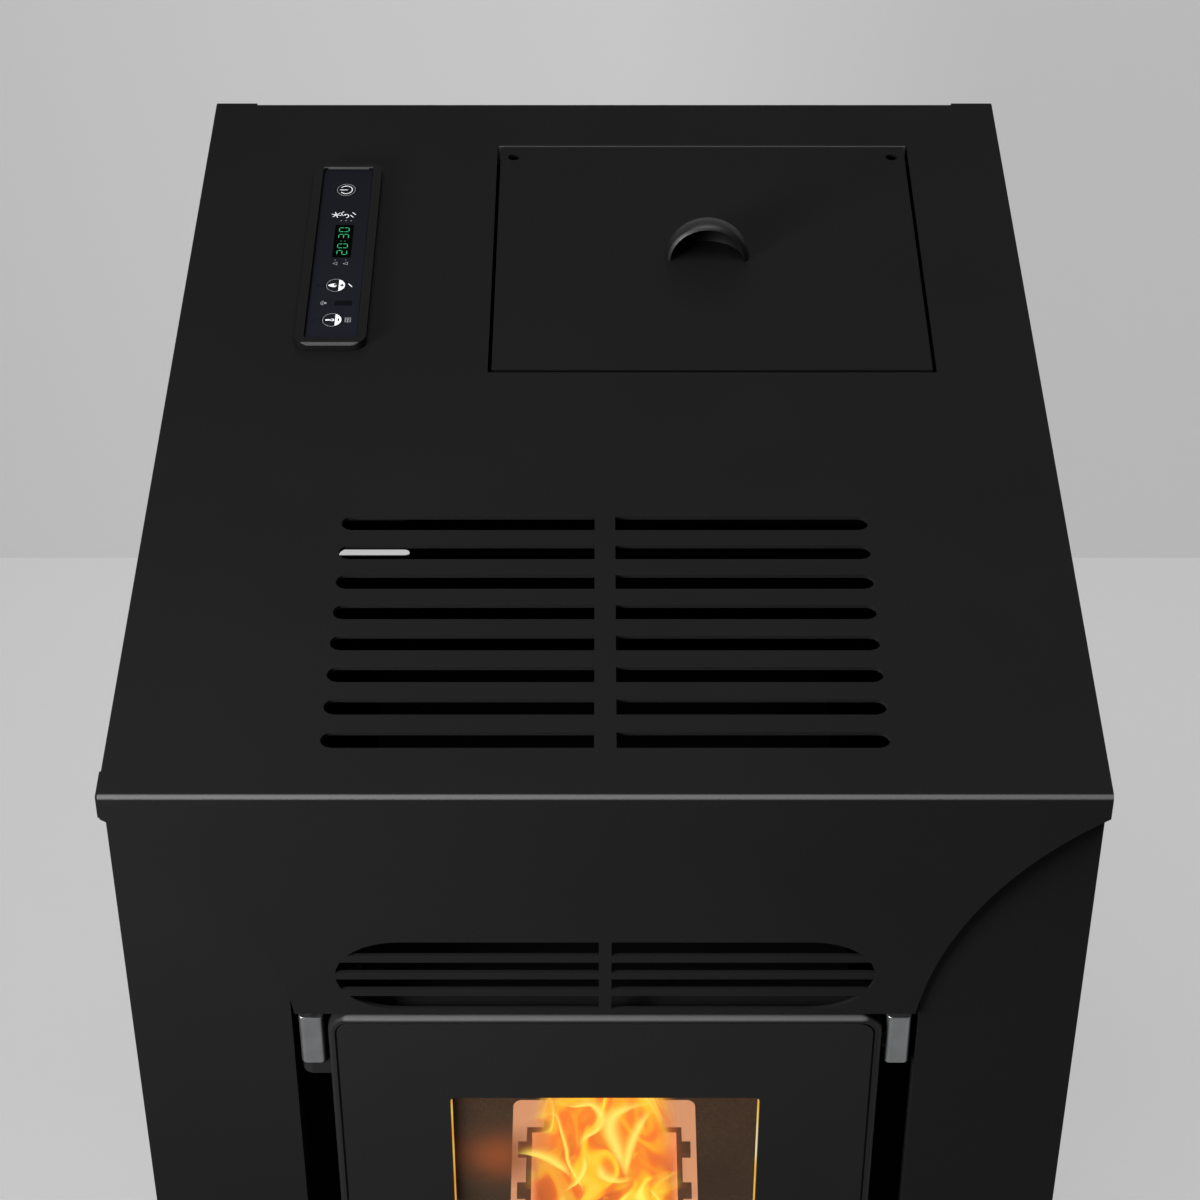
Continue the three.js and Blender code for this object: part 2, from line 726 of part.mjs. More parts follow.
// ---- Control panel ----
function makeControlPanel() {
  const x = [bezelCentreX - bezelWidth / 2, bezelCentreX + bezelWidth / 2];
  const y = [bezelFront, bezelFront + bezelLength];
  const inside = (range, by) => [range[0] + by, range[1] - by];
  const ring = extruded("xy", roundedRectangle(x, y, bezelCorner), [cabinetHeight + fit, cabinetHeight + bezelRise]);
  const skirt = block(...bezelOpening(0), [cabinetHeight - bezelSkirt, cabinetHeight + fit + 1]);
  const ledgeTop = cabinetHeight + bezelRise - overlayThick - fit - 1;
  const recess = extruded(
    "xy",
    roundedRectangle(inside(x, bezelRim), inside(y, bezelRim), bezelCorner - bezelRim),
    [ledgeTop, cabinetHeight + bezelRise + 1],
    2,
  );
  const well = block(
    inside(x, bezelRim + ledgeWidth),
    inside(y, bezelRim + ledgeWidth),
    [cabinetHeight - bezelSkirt + sheet, ledgeTop + 1],
  );
  addPiece("control_bezel", cut(join(ring, skirt), recess, well), blackPlastic);
  const overlayZ = [ledgeTop + fit, ledgeTop + fit + overlayThick];
  const foil = extruded(
    "xy",
    roundedRectangle(inside(x, bezelRim + fit), inside(y, bezelRim + fit), bezelCorner - bezelRim),
    overlayZ,
    2,
  );
  const holes = keyDistances.map((distance) =>
    rod("z", keyRadius + fit, [overlayZ[0] - 1, overlayZ[1] + 1], [bezelCentreX, bezelFront + distance], 20),
  );
  addPiece("control_overlay", cut(foil, ...holes), keyPlastic);
  keyNames.forEach((name, i) => {
    const cap = rod("z", keyRadius, [-keyFlange, overlayThick + fit], [0, 0], 20);
    const rim = rod("z", keyRadius + keyFlange, [-keyFlange, 0], [0, 0], 20);
    const key = addPiece(name, join(cap, rim), keyPlastic);
    key.position.set(bezelCentreX, bezelFront + keyDistances[i], overlayZ[0] - fit);
  });
}

// ---- Door ----
function windowRange(margin) {
  return [
    [-windowWidth / 2 - margin, windowWidth / 2 + margin],
    [doorBottom + windowMargin - margin, doorTop - windowMargin + margin],
  ];
}

function insetDoor(by) {
  return [
    [-doorHalf + by, doorHalf - by],
    [doorBottom + by, doorTop - by],
  ];
}

// Each arm reaches past the door's edge and turns round the hinge pin.
function hingeArmBody(bottom) {
  const shape = new THREE.Shape();
  const r = hingeBlockWidth / 2;
  shape.moveTo(-doorHalf + doorSkin, hingeDepth - r);
  shape.lineTo(-doorHalf + doorSkin, hingeDepth + r);
  shape.lineTo(hingeX, hingeDepth + r);
  shape.absarc(hingeX, hingeDepth, r, Math.PI / 2, 1.5 * Math.PI);
  const arm = extruded("xy", shape, [bottom, bottom + hingeArm], 6);
  return cut(arm, rod("z", hingePinRadius + fit, [bottom - 1, bottom + hingeArm + 1], [hingeX, hingeDepth], 16));
}

function hingePlaces() {
  const upperBlock = doorTop - hingeDrop - hingeBlockHeight;
  const lowerBlock = doorBottom + hingeDrop;
  return {
    upperBlock,
    lowerBlock,
    upperArm: upperBlock - fit - hingeArm,
    lowerArm: lowerBlock + hingeBlockHeight + fit,
  };
}

function makeDoor() {
  const places = hingePlaces();
  const body = softPlate(...insetDoor(0), doorCorner, doorEdge, doorBack);
  const inside = roundedRectangle(...insetDoor(doorSkin), doorCorner - doorSkin);
  const hollow = extruded("xz", inside, [doorSkin, doorBack - doorSkin]);
  const backHole = block(insetDoor(doorRim)[0], [doorSkin, doorBack + 1], insetDoor(doorRim)[1]);
  const pane = extruded("xz", roundedRectangle(...windowRange(0), windowCorner), [-1, doorSkin + 1], 2);
  const arms = [hingeArmBody(places.upperArm), hingeArmBody(places.lowerArm)];
  const grooveReach = [-1, grooveDepth];
  const grooveOuter = roundedRectangle(...insetDoor(grooveInset), doorCorner - grooveInset);
  const groovePath = grooveInset + grooveWidth;
  const grooveInner = roundedRectangle(...insetDoor(groovePath), doorCorner - groovePath);
  const groove = cut(extruded("xz", grooveOuter, grooveReach), extruded("xz", grooveInner, [-2, grooveDepth + 1]));
  const shell = cut(body, hollow, backHole, pane, groove);
  addPiece("door_frame", join(shell, ...arms), blackPaint);
  const [glassX, glassZ] = windowRange(glassLap);
  const glassFront = doorSkin + fit;
  addPiece("door_glass", block(glassX, [glassFront, glassFront + glassThick], glassZ), smokedGlass);
  makeRetainer(glassFront + glassThick + fit);
  makeGasket();
  makeHandle();
}

function makeRetainer(front) {
  const [outerX, outerZ] = windowRange(glassLap + retainerLap);
  const [innerX, innerZ] = windowRange(glassLap - 3);
  const ring = block(outerX, [front, front + retainerThick], outerZ);
  const hole = block(innerX, [front - 1, front + retainerThick + 1], innerZ);
  const studs = [];
  for (const x of outerX) {
    for (const z of outerZ) {
      const inX = x - Math.sign(x) * (retainerLap / 2);
      const inZ = z + (z > (doorTop + doorBottom) / 2 ? -1 : 1) * (retainerLap / 2);
      studs.push(rod("y", 2.5, [doorSkin + fit, front + 1], [inX, inZ], 12));
    }
  }
  addPiece("glass_retainer", join(cut(ring, hole), ...studs), bareSteel);
}

function makeGasket() {
  const reach = [doorBack + fit, columnReturn];
  const inset = (doorRim - gasketWidth) / 2;
  const outer = extruded("xz", roundedRectangle(...insetDoor(inset), doorCorner), reach, 3);
  const hole = roundedRectangle(...insetDoor(inset + gasketWidth), doorCorner - gasketWidth / 2);
  addPiece("door_gasket", cut(outer, extruded("xz", hole, [reach[0] - 1, reach[1] + 1], 3)), rope);
}

function makeHandle() {
  const ends = [handleCentre - handleLength / 2, handleCentre + handleLength / 2];
  const y = -handleReach + handleRadius;
  const profile = new THREE.Shape();
  profile.moveTo(0, ends[0]);
  profile.absarc(0, ends[0] + handleRadius, handleRadius, -Math.PI / 2, 0);
  profile.absarc(0, ends[1] - handleRadius, handleRadius, 0, Math.PI / 2);
  const bar = solid(new THREE.LatheGeometry(profile.getPoints(3), 16).rotateX(Math.PI / 2));
  const posts = [0.25, 0.75].map((share) => {
    const z = ends[0] + share * handleLength;
    return join(
      rod("y", postRadius, [y, -fit], [handleX, z], 16),
      rod("y", 2 * postRadius, [-sheet - fit, -fit], [handleX, z], 16),
    );
  });
  addPiece("door_handle", join(moved(bar, handleX, y, 0), ...posts), castIron);
}

// ---- Hinge blocks, pins and the ball catch ----
function cornerBlock(height) {
  const half = hingeBlockWidth / 2;
  const shape = roundedRectangle(
    [-half, half],
    [hingeBlockFront - hingeDepth, columnReturn - hingeDepth],
    hingeBlockCorner,
  );
  return extruded("xy", shape, [0, height], 3);
}

function makeHinges() {
  const places = hingePlaces();
  const bore = rod("z", hingePinRadius + fit, [-1, hingeBlockHeight + 1], [0, 0], 16);
  for (const [name, z] of [["hinge_block_upper", places.upperBlock], ["hinge_block_lower", places.lowerBlock]]) {
    addPiece(name, cut(cornerBlock(hingeBlockHeight), bore), zinc).position.set(hingeX, hingeDepth, z);
  }
  const length = hingeBlockHeight + hingeArm + 3 * fit + 2;
  const shank = rod("z", hingePinRadius, [-length, hingeHeadThick / 2], [0, 0], 16);
  const head = rod("z", hingeHeadRadius, [0, hingeHeadThick], [0, 0], 16);
  const upper = addPiece("hinge_pin_upper", join(shank, head), castIron);
  upper.position.set(hingeX, hingeDepth, places.upperBlock + hingeBlockHeight + fit);
  const lower = addPiece("hinge_pin_lower", join(shank, head), castIron);
  lower.position.set(hingeX, hingeDepth, places.lowerArm + hingeArm + fit);
}

function makeCatch() {
  const places = hingePlaces();
  const half = hingeBlockWidth / 2;
  const z = hingeBlockHeight / 4;
  const bore = rod("x", plungerRadius + fit, [-half - 1, half - 1], [0, z], 16);
  const body = addPiece("catch_block", cut(cornerBlock(hingeBlockHeight), bore), zinc);
  body.position.set(-hingeX, hingeDepth, places.upperBlock);
  const tip = doorHalf + fit;
  const dome = rod("x", 1, [0, plungerRadius], [0, 0], 16, plungerRadius);
  const stem = rod("x", plungerRadius, [plungerRadius - 0.1, plungerLength], [0, 0], 16);
  const plunger = addPiece("catch_plunger", join(stem, dome), bareSteel);
  plunger.position.set(tip, hingeDepth, places.upperBlock + z);
}

// ---- Firebox ----
function chuteTool(clearance) {
  const half = chuteHalf + clearance;
  return feedBlock([-half, half], [-chuteLength - 100, chuteHead], [-half, half]);
}

function makeFirebox() {
  const outer = block([-fireHalf, fireHalf], [shellFront, fireBack], [fireBottom, fireTop]);
  const inner = block(
    [-fireInner, fireInner],
    [shellFront - 1, fireBack - fireWall],
    [fireFloor, fireTop - fireWall],
  );
  const through = [fireBack - fireWall - 1, fireBack + 1];
  const outlet = block(
    [-exchangerHalf + liningThick, exchangerHalf - liningThick],
    through,
    [liningTop + baffleThick + fit, fireTop - 2 * fireWall],
  );
  const slots = [-1, 1].map((side) => {
    const range = side < 0 ? [-ashSlotOuter, -ashSlotInner] : [ashSlotInner, ashSlotOuter];
    const shape = roundedRectangle(range, [ashSlotFront, ashSlotBack], (ashSlotOuter - ashSlotInner) / 2 - 1);
    return extruded("xy", shape, [fireBottom - 1, fireFloor + 1], 3);
  });
  const intake = rod("y", intakeRadius + fit, through, [0, intakeTop], 32);
  const igniter = rod("y", igniterRadius + fit, through, [0, igniterHeight], 12);
  addPiece("firebox_shell", cut(outer, inner, outlet, ...slots, intake, igniter, chuteTool(fit)), castIron);
  makeLinings();
}

function makeLinings() {
  const z = [fireFloor + fit, liningTop];
  const half = fireInner - fit;
  const back = [liningFront, liningFront + liningThick];
  const holes = [
    rod("y", intakeRadius + fit, [back[0] - 1, back[1] + 1], [0, intakeTop], 32),
    rod("y", igniterRadius + fit, [back[0] - 1, back[1] + 1], [0, igniterHeight], 12),
    chuteTool(fit),
  ];
  addPiece("lining_back", cut(block([-half, half], back, z), ...holes), vermiculite);
  const sideY = [shellFront + fit, liningFront - fit];
  addPiece("lining_left", block([-half, -half + sideLining], sideY, z), vermiculite);
  addPiece("lining_right", block([half - sideLining, half], sideY, z), vermiculite);
  const baffleZ = [liningTop + fit, liningTop + fit + baffleThick - 1];
  addPiece("baffle_plate", block([-half, half], [baffleFront, back[1]], baffleZ), vermiculite);
}

function makeBurnPot() {
  const opening = [
    [-potHalf - fit, potHalf + fit],
    [potFront - fit, potBack + fit],
  ];
  const outer = extruded("xy", roundedRectangle([-seatHalf, seatHalf], [seatFront, seatBack], seatCorner), [
    fireFloor + fit,
    seatHeight,
  ]);
  const inner = block(
    [-seatHalf + seatWall, seatHalf - seatWall],
    [seatFront + seatWall, seatBack - seatWall],
    [fireFloor, seatHeight - seatWall],
  );
  const potHoleTool = block(...opening, [seatHeight - seatWall - 1, seatHeight + 1]);
  const air = rod("y", intakeRadius - intakeWall, [seatBack - seatWall - 1, seatBack + 1], [0, intakeTop], 20);
  const heater = rod("y", igniterRadius + fit, [seatBack - seatWall - 1, seatBack + 1], [0, igniterHeight], 12);
  addPiece("burn_pot_cradle", cut(outer, inner, potHoleTool, air, heater), castIron);
  addPiece("burn_pot", burnPotBody(), castIron);
  const tip = potBack + 3 * fit;
  const igniter = join(
    rod("y", igniterRadius, [tip, exchangerBack - 2 * tubeWall], [0, igniterHeight], 16),
    rod("y", igniterRadius - 2, [exchangerBack - 2 * tubeWall - 1, exchangerBack + 8], [0, igniterHeight], 12),
  );
  addPiece("igniter", igniter, bareSteel);
}

// A tapered cast box with air holes in its bottom and lugs that rest on the seat.
function burnPotBody() {
  const top = seatHeight + fit + potRim;
  const bottom = seatHeight - potDepth;
  const wall = (inset, z) => [-potHalf + inset, potHalf - inset, potFront + inset, potBack - inset, z];
  const outer = loft([wall(potTaper, bottom), wall(0, seatHeight), wall(0, top)]);
  const hollow = loft([wall(potTaper + potWall, bottom + potWall), wall(potWall, seatHeight), wall(potWall, top + 1)]);
  const lugZ = [seatHeight + fit, top];
  const lugs = [];
  const middleY = (potFront + potBack) / 2;
  const pitch = (potBack - potFront) / potLugCount;
  for (let i = 0; i < potLugCount; i++) {
    const along = (i - (potLugCount - 1) / 2) * pitch;
    const y = [middleY + along - potLugLength / 2, middleY + along + potLugLength / 2];
    lugs.push(block([-potHalf - potLug, potHalf + potLug], y, lugZ));
    if (along !== 0) {
      const x = [along - potLugLength / 2, along + potLugLength / 2];
      lugs.push(block(x, [potFront - potLug, potBack + potLug], lugZ));
    }
  }
  const holes = [];
  for (let i = 0; i < potHoleCount; i++) {
    for (let j = 0; j < potHoleCount; j++) {
      const x = (i - (potHoleCount - 1) / 2) * potHolePitch;
      const y = middleY + (j - (potHoleCount - 1) / 2) * potHolePitch;
      holes.push(rod("z", potHole, [bottom - 1, bottom + potWall + 1], [x, y], 8));
    }
  }
  return cut(join(outer, ...lugs), hollow, ...holes);
}

// ---- Smoke and air ----
function tubePlaces() {
  return [-tubeInner - tubePitch, -tubeInner, tubeInner, tubeInner + tubePitch];
}

// Two headers joined by upright flue tubes, which the warm air flows round.
function makeExchanger() {
  const x = [-exchangerHalf, exchangerHalf];
  const y = [exchangerFront, exchangerBack];
  const header = block(x, y, [fireTop - headerHeight, fireTop]);
  const chamber = block(
    [x[0] + tubeWall, x[1] - tubeWall],
    [y[0] - 1, y[1] - tubeWall],
    [fireTop - headerHeight + tubeWall, fireTop - tubeWall],
  );
  const plate = block(x, y, [fireBottom, fireBottom + 2 * tubeWall]);
  const tubes = tubePlaces().map((tube) => rod("z", tubeRadius, [fireBottom, fireTop - headerHeight + 1], [tube, tubeY], 20));
  const bores = tubePlaces().map((tube) =>
    rod("z", tubeRadius - tubeWall, [fireBottom - 1, fireTop - headerHeight + tubeWall + 1], [tube, tubeY], 20),
  );
  addPiece("heat_exchanger", cut(join(cut(header, chamber), plate, ...tubes), ...bores), castIron);
  const boxZ = [fireBottom - fit - smokeBoxHeight, fireBottom - fit];
  const shell = block(x, y, boxZ);
  const hollow = block(
    [x[0] + tubeWall, x[1] - tubeWall],
    [y[0] + tubeWall, y[1] - tubeWall],
    [boxZ[0] + tubeWall, boxZ[1] + 1],
  );
  const inlet = rod("x", fanInlet, [x[0] - 1, x[0] + tubeWall + 1], [fanY, fanHeight], 24);
  addPiece("smoke_box", cut(shell, hollow, inlet), castIron);
}

function scrollRight() {
  return -fireHalf - fit;
}

function scrollCentreX() {
  return scrollRight() - scrollWidth / 2;
}

function flueZ() {
  const low = scrollSmall * Math.sin(THREE.MathUtils.degToRad(tongueAngle));
  return fanHeight + (low + scrollLarge) / 2;
}

// A scroll that grows from the tongue round to the outlet, which points backwards.
function scrollOutline(wall, reach) {
  const shape = new THREE.Shape();
  const top = fanHeight + scrollLarge - wall;
  const low = fanHeight + scrollSmall * Math.sin(THREE.MathUtils.degToRad(tongueAngle)) + wall;
  const turn = 270 + tongueAngle;
  const steps = 20;
  shape.moveTo(fanY + reach, top);
  for (let i = 0; i <= steps; i++) {
    const share = i / steps;
    const angle = THREE.MathUtils.degToRad(90 + share * turn);
    const radius = scrollLarge - wall - share * (scrollLarge - scrollSmall);
    shape.lineTo(fanY + radius * Math.cos(angle), fanHeight + radius * Math.sin(angle));
  }
  shape.lineTo(fanY + scrollSmall, low);
  shape.lineTo(fanY + reach, low);
  return shape;
}

function makeExhaust() {
  const x = [scrollRight() - scrollWidth, scrollRight()];
  const outer = extruded("yz", scrollOutline(0, scrollReach), x);
  const inner = extruded("yz", scrollOutline(scrollWall, scrollReach + 1), [x[0] + scrollWall, x[1] - scrollWall]);
  const collar = rod("x", fanInlet + scrollWall, [x[1] - 1, -exchangerHalf - fit], [fanY, fanHeight], 24);
  const eye = rod("x", fanInlet, [x[1] - scrollWall - 1, -exchangerHalf], [fanY, fanHeight], 24);
  const motorHole = rod("x", fanHub + 1, [x[0] - 1, x[0] + scrollWall + 1], [fanY, fanHeight], 20);
  addPiece("exhaust_housing", cut(join(outer, collar), inner, eye, motorHole), castIron);
  makeImpeller(x[0] + scrollWall + 4);
  makeExhaustMotor(x[0] - fit);
  makeSpigot();
}

function makeImpeller(plateX) {
  const disc = rod("x", impellerRadius, [0, 2], [0, 0], 32);
  const hub = rod("x", fanHub, [0, impellerBladeWidth / 2], [0, 0], 20);
  const blades = [];
  for (let i = 0; i < impellerBlades; i++) {
    const blade = new THREE.Shape();
    blade.moveTo(fanHub - 2, -1);
    blade.quadraticCurveTo(impellerRadius / 2, -10, impellerRadius - 1, -1);
    blade.lineTo(impellerRadius - 1, 1);
    blade.quadraticCurveTo(impellerRadius / 2, -7.5, fanHub - 2, 1);
    blades.push(extruded("yz", blade, [1, impellerBladeWidth], 3).rotate([(360 / impellerBlades) * i, 0, 0]));
  }
  const bore = rod("x", shaftRadius + fit, [-1, impellerBladeWidth + 1], [0, 0], 16);
  const wheel = cut(join(disc, hub, ...blades), bore);
  addPiece("exhaust_impeller", wheel, bareSteel).position.set(plateX, fanY, fanHeight);
}

function makeExhaustMotor(right) {
  const left = -sideInner + motorRoom;
  const flange = rod("x", motorRadius + 6, [right - 3, right], [fanY, fanHeight], 28);
  const can = rod("x", motorRadius, [left, right - 2], [fanY, fanHeight], 28);
  const tip = right + scrollWall + 4 + impellerBladeWidth / 2;
  const shaft = rod("x", shaftRadius, [right - 1, tip], [fanY, fanHeight], 16);
  addPiece("exhaust_motor", join(flange, can, shaft), bareSteel);
}

function makeSpigot() {
  const front = fanY + scrollReach + fit;
  const centre = [scrollCentreX(), flueZ()];
  const half = spigotRadius + 4;
  const flange = block(
    [centre[0] - half, centre[0] + half],
    [front, front + spigotFlange],
    [centre[1] - half, centre[1] + half],
  );
  const pipe = rod("y", spigotRadius, [front + 1, cabinetDepth + spigotReach], centre, 32);
  const bore = rod("y", spigotRadius - spigotWall, [front - 1, cabinetDepth + spigotReach + 1], centre, 32);
  addPiece("flue_spigot", cut(join(flange, pipe), bore), bareSteel);
}

// A bent round bar in the plane x = 0: each station is [y, z, direction] of its centre line.
function bentRod(stations, radius, sides = 20) {
  const positions = [];
  const index = [];
  for (const [y, z, direction] of stations) {
    for (let i = 0; i < sides; i++) {
      const around = (2 * Math.PI * i) / sides;
      const rise = radius * Math.sin(around);
      positions.push(radius * Math.cos(around), y - rise * Math.sin(direction), z + rise * Math.cos(direction));
    }
  }
  for (let i = 0; i + 1 < stations.length; i++) {
    for (let side = 0; side < sides; side++) {
      const a = i * sides + side;
      const b = i * sides + ((side + 1) % sides);
      index.push(a, b + sides, b, a, a + sides, b + sides);
    }
  }
  const last = (stations.length - 1) * sides;
  for (let side = 1; side + 1 < sides; side++) {
    index.push(0, side, side + 1);
    index.push(last, last + side + 1, last + side);
  }
  const geometry = new THREE.BufferGeometry();
  geometry.setAttribute("position", new THREE.Float32BufferAttribute(positions, 3));
  geometry.setIndex(index);
  return solid(geometry);
}

// From the burn pot's seat straight back, down behind the smoke box and out through the back panel.
function makeIntake() {
  const steps = 5;
  const centreY = intakeDrop - intakeBend;
  const stationsFor = (overrun) => {
    const stations = [[seatBack + fit - overrun, intakeTop, 0]];
    for (let i = 0; i <= steps; i++) {
      const turn = (-Math.PI / 2) * (i / steps);
      const centreZ = intakeTop - intakeBend;
      stations.push([centreY - intakeBend * Math.sin(turn), centreZ + intakeBend * Math.cos(turn), turn]);
    }
    for (let i = 0; i <= steps; i++) {
      const turn = (-Math.PI / 2) * (1 - i / steps);
      const lowY = intakeDrop + intakeBend;
      const lowZ = intakeLow + intakeBend;
      stations.push([lowY + intakeBend * Math.sin(turn), lowZ - intakeBend * Math.cos(turn), turn]);
    }
    stations.push([cabinetDepth + intakeReach + overrun, intakeLow, 0]);
    return stations;
  };
  const pipe = cut(bentRod(stationsFor(0), intakeRadius), bentRod(stationsFor(1), intakeRadius - intakeWall));
  addPiece("air_intake_pipe", pipe, bareSteel);
}

// ---- Feed ----
function makeFlight(length) {
  const perTurn = 12;
  const steps = Math.round((length / augerPitch) * perTurn);
  const positions = [];
  const index = [0, 2, 1, 0, 3, 2];
  for (let i = 0; i <= steps; i++) {
    const angle = (2 * Math.PI * i) / perTurn;
    const z = ((length - flightThick) * i) / steps;
    const corners = [
      [augerShaft / 2, z],
      [augerShaft / 2, z + flightThick],
      [augerRadius, z + flightThick],
      [augerRadius, z],
    ];
    for (const [radius, height] of corners) {
      positions.push(radius * Math.cos(angle), radius * Math.sin(angle), height);
    }
    for (let side = 0; side < 4 && i < steps; side++) {
      const a = 4 * i + side;
      const b = 4 * i + ((side + 1) % 4);
      index.push(a, b, b + 4, a, b + 4, a + 4);
    }
  }
  const last = 4 * steps;
  index.push(last, last + 1, last + 2, last, last + 2, last + 3);
  const geometry = new THREE.BufferGeometry();
  geometry.setAttribute("position", new THREE.Float32BufferAttribute(positions, 3));
  geometry.setIndex(index);
  return solid(geometry);
}

function makeFeed() {
  const feed = new THREE.Group();
  feed.position.set(0, feedY, feedZ);
  feed.rotation.x = feedTilt;
  stove.add(feed);
  const tubeTop = -chuteHalf - fit;
  const tubeBottom = tubeTop - augerTubeLength;
  const toFeed = feedMatrix.clone().invert();
  const throatGeometry = new THREE.BoxGeometry(2 * spoutHalf - 4, spoutBack - spoutFront - 4, 100);
  const throatBottom = feedZ - ((spoutFront + spoutBack) / 2 - feedY) * Math.tan(feedTilt);
  throatGeometry.translate(0, (spoutFront + spoutBack) / 2, throatBottom + 50);
  const throat = solid(throatGeometry.applyMatrix4(toFeed));
  const tube = cut(
    rod("z", augerTubeRadius, [tubeBottom, tubeTop], [0, 0], 28),
    rod("z", augerTubeRadius - augerWall, [tubeBottom - 1, tubeTop + 1], [0, 0], 28),
    throat,
  );
  addPiece("auger_tube", tube, bareSteel, feed);
  const screwBottom = tubeBottom + 4;
  const screwTop = chuteHalf - 10;
  const flight = moved(makeFlight(screwTop - screwBottom), 0, 0, screwBottom);
  const shaft = rod("z", augerShaft, [tubeBottom - gearLength / 2, screwTop + 2], [0, 0], 16);
  addPiece("auger_screw", join(shaft, flight), bareSteel, feed);
  makeGearmotor(tubeBottom - fit, feed);
  makeChute(feed);
}

function makeGearmotor(top, feed) {
  const box = extruded("xy", roundedRectangle([-gearHalf, gearHalf], [-gearHalf, gearHalf], 6), [top - gearLength, top], 2);
  const motor = rod("z", gearMotorRadius, [top - gearLength - gearMotorLength, top - gearLength + 1], [0, 0], 24);
  const bore = rod("z", augerShaft + fit, [top - gearLength / 2 - 1, top + 1], [0, 0], 16);
  addPiece("auger_gearmotor", cut(join(box, motor), bore), castIron, feed);
}

function makeChute(feed) {
  const half = chuteHalf;
  const inner = half - chuteWall;
  const outside = block([-half, half], [-chuteLength, chuteHead], [-half, half]);
  const inside = block([-inner, inner], [-chuteLength - 1, chuteHead - chuteWall], [-inner, inner]);
  const entry = rod("z", augerTubeRadius - augerWall, [-half - 1, -inner + 1], [0, 0], 24);
  addPiece("drop_chute", cut(outside, inside, entry), bareSteel, feed);
}

// ---- Hopper and lid ----
function hopperSections(wall, lower, upper) {
  const x = [hopperLeft - wall, hopperRight + wall];
  const y = [hopperFront - wall, hopperBack + wall];
  const spoutX = [-spoutHalf - wall, spoutHalf + wall];
  const spoutY = [spoutFront - wall, spoutBack + wall];
  return loft([
    [...spoutX, ...spoutY, lower],
    [...spoutX, ...spoutY, spoutTop],
    [...x, ...y, hopperShoulder],
    [...x, ...y, upper],
  ]);
}

function makeHopper() {
  const top = coverUnder - fit;
  const clearRadius = augerTubeRadius + fit;
  const low = feedZ - (spoutBack + sheet - feedY) * Math.tan(feedTilt) - 2 * clearRadius;
  const far = cabinetHeight;
  const saddle = feedRod(clearRadius, [-far, 0], 28);
  const wallHalf = spoutHalf + sheet;
  const depth = Math.sqrt(clearRadius ** 2 - wallHalf ** 2);
  const below = feedBlock([-far, far], [-far, depth], [-far, chuteHalf]);
  const rodHoles = rod("x", lidRodRadius + fit, [hopperLeft - 10, hopperRight + 10], [lidAxisY, lidAxisZ], 16);
  const body = cut(hopperSections(sheet, low, top), hopperSections(0, low - 1, top + 1), saddle, below, rodHoles);
  addPiece("hopper", body, zinc);
  const x = [hopperLeft + fit, hopperRight - fit];
  const y = [hopperFront + fit, hopperBack - fit];
  const z = [hopperShoulder + fit, hopperShoulder + fit + guardThick];
  const windows = [];
  const span = (x[1] - x[0] - 2 * guardRim - guardBars * guardBar) / (guardBars + 1);
  for (let i = 0; i <= guardBars; i++) {
    const from = x[0] + guardRim + i * (span + guardBar);
    windows.push(block([from, from + span], [y[0] + guardRim, y[1] - guardRim], [z[0] - 1, z[1] + 1]));
  }
  addPiece("hopper_guard", cut(block(x, y, z), ...windows), zinc);
}

function makeLid() {
  const x = [lidLeft, lidRight];
  const y = [lidFront, lidBack];
  const outer = block(x, y, [cabinetHeight - lidFlange, cabinetHeight]);
  const hollow = block(
    [x[0] + sheet, x[1] - sheet],
    [y[0] + sheet, y[1] - sheet],
    [cabinetHeight - lidFlange - 1, coverUnder],
  );
  const holes = x.map((edge) => {
    const inward = edge === x[0] ? lidScrewInset : -lidScrewInset;
    return rod("z", lidScrewRadius, [coverUnder - 1, cabinetHeight + 1], [edge + inward, lidAxisY], 16);
  });
  const relief = block(
    [x[0] - 1, x[1] + 1],
    [y[0] + sheet, y[0] + lidRelief],
    [cabinetHeight - lidFlange - 1, coverUnder],
  );
  const pivot = rod("x", lidRodRadius + fit, [x[0] - 1, x[1] + 1], [lidAxisY, lidAxisZ], 16);
  addPiece("hopper_lid", cut(outer, hollow, relief, pivot, ...holes), blackPaint);
  const pull = addPiece("lid_pull", cupPull(), blackPlastic);
  pull.position.set(lidCentreX, lidFront + pullFromLidFront, cabinetHeight + fit);
  const ends = [hopperLeft - sheet - fit, hopperRight + sheet + fit];
  const bar = rod("x", lidRodRadius, [ends[0] - 1, ends[1] + 1], [lidAxisY, lidAxisZ], 16);
  const heads = [
    rod("x", lidRodHead, [ends[0] - 1.5, ends[0]], [lidAxisY, lidAxisZ], 16),
    rod("x", lidRodHead, [ends[1], ends[1] + 1.5], [lidAxisY, lidAxisZ], 16),
  ];
  addPiece("lid_hinge_rod", join(bar, ...heads), bareSteel);
}

// A quarter-sphere shell, open at the front, with its flat side down on the surface at z = 0.
function cupPull() {
  const ball = solid(new THREE.SphereGeometry(pullRadius, 28, 20));
  const hollow = solid(new THREE.SphereGeometry(pullRadius - pullWall, 24, 16));
  const keep = block([-pullRadius, pullRadius], [0, pullRadius], [0, pullRadius]);
  return cut(ball.intersect(keep), moved(hollow, 0, 0, 0));
}

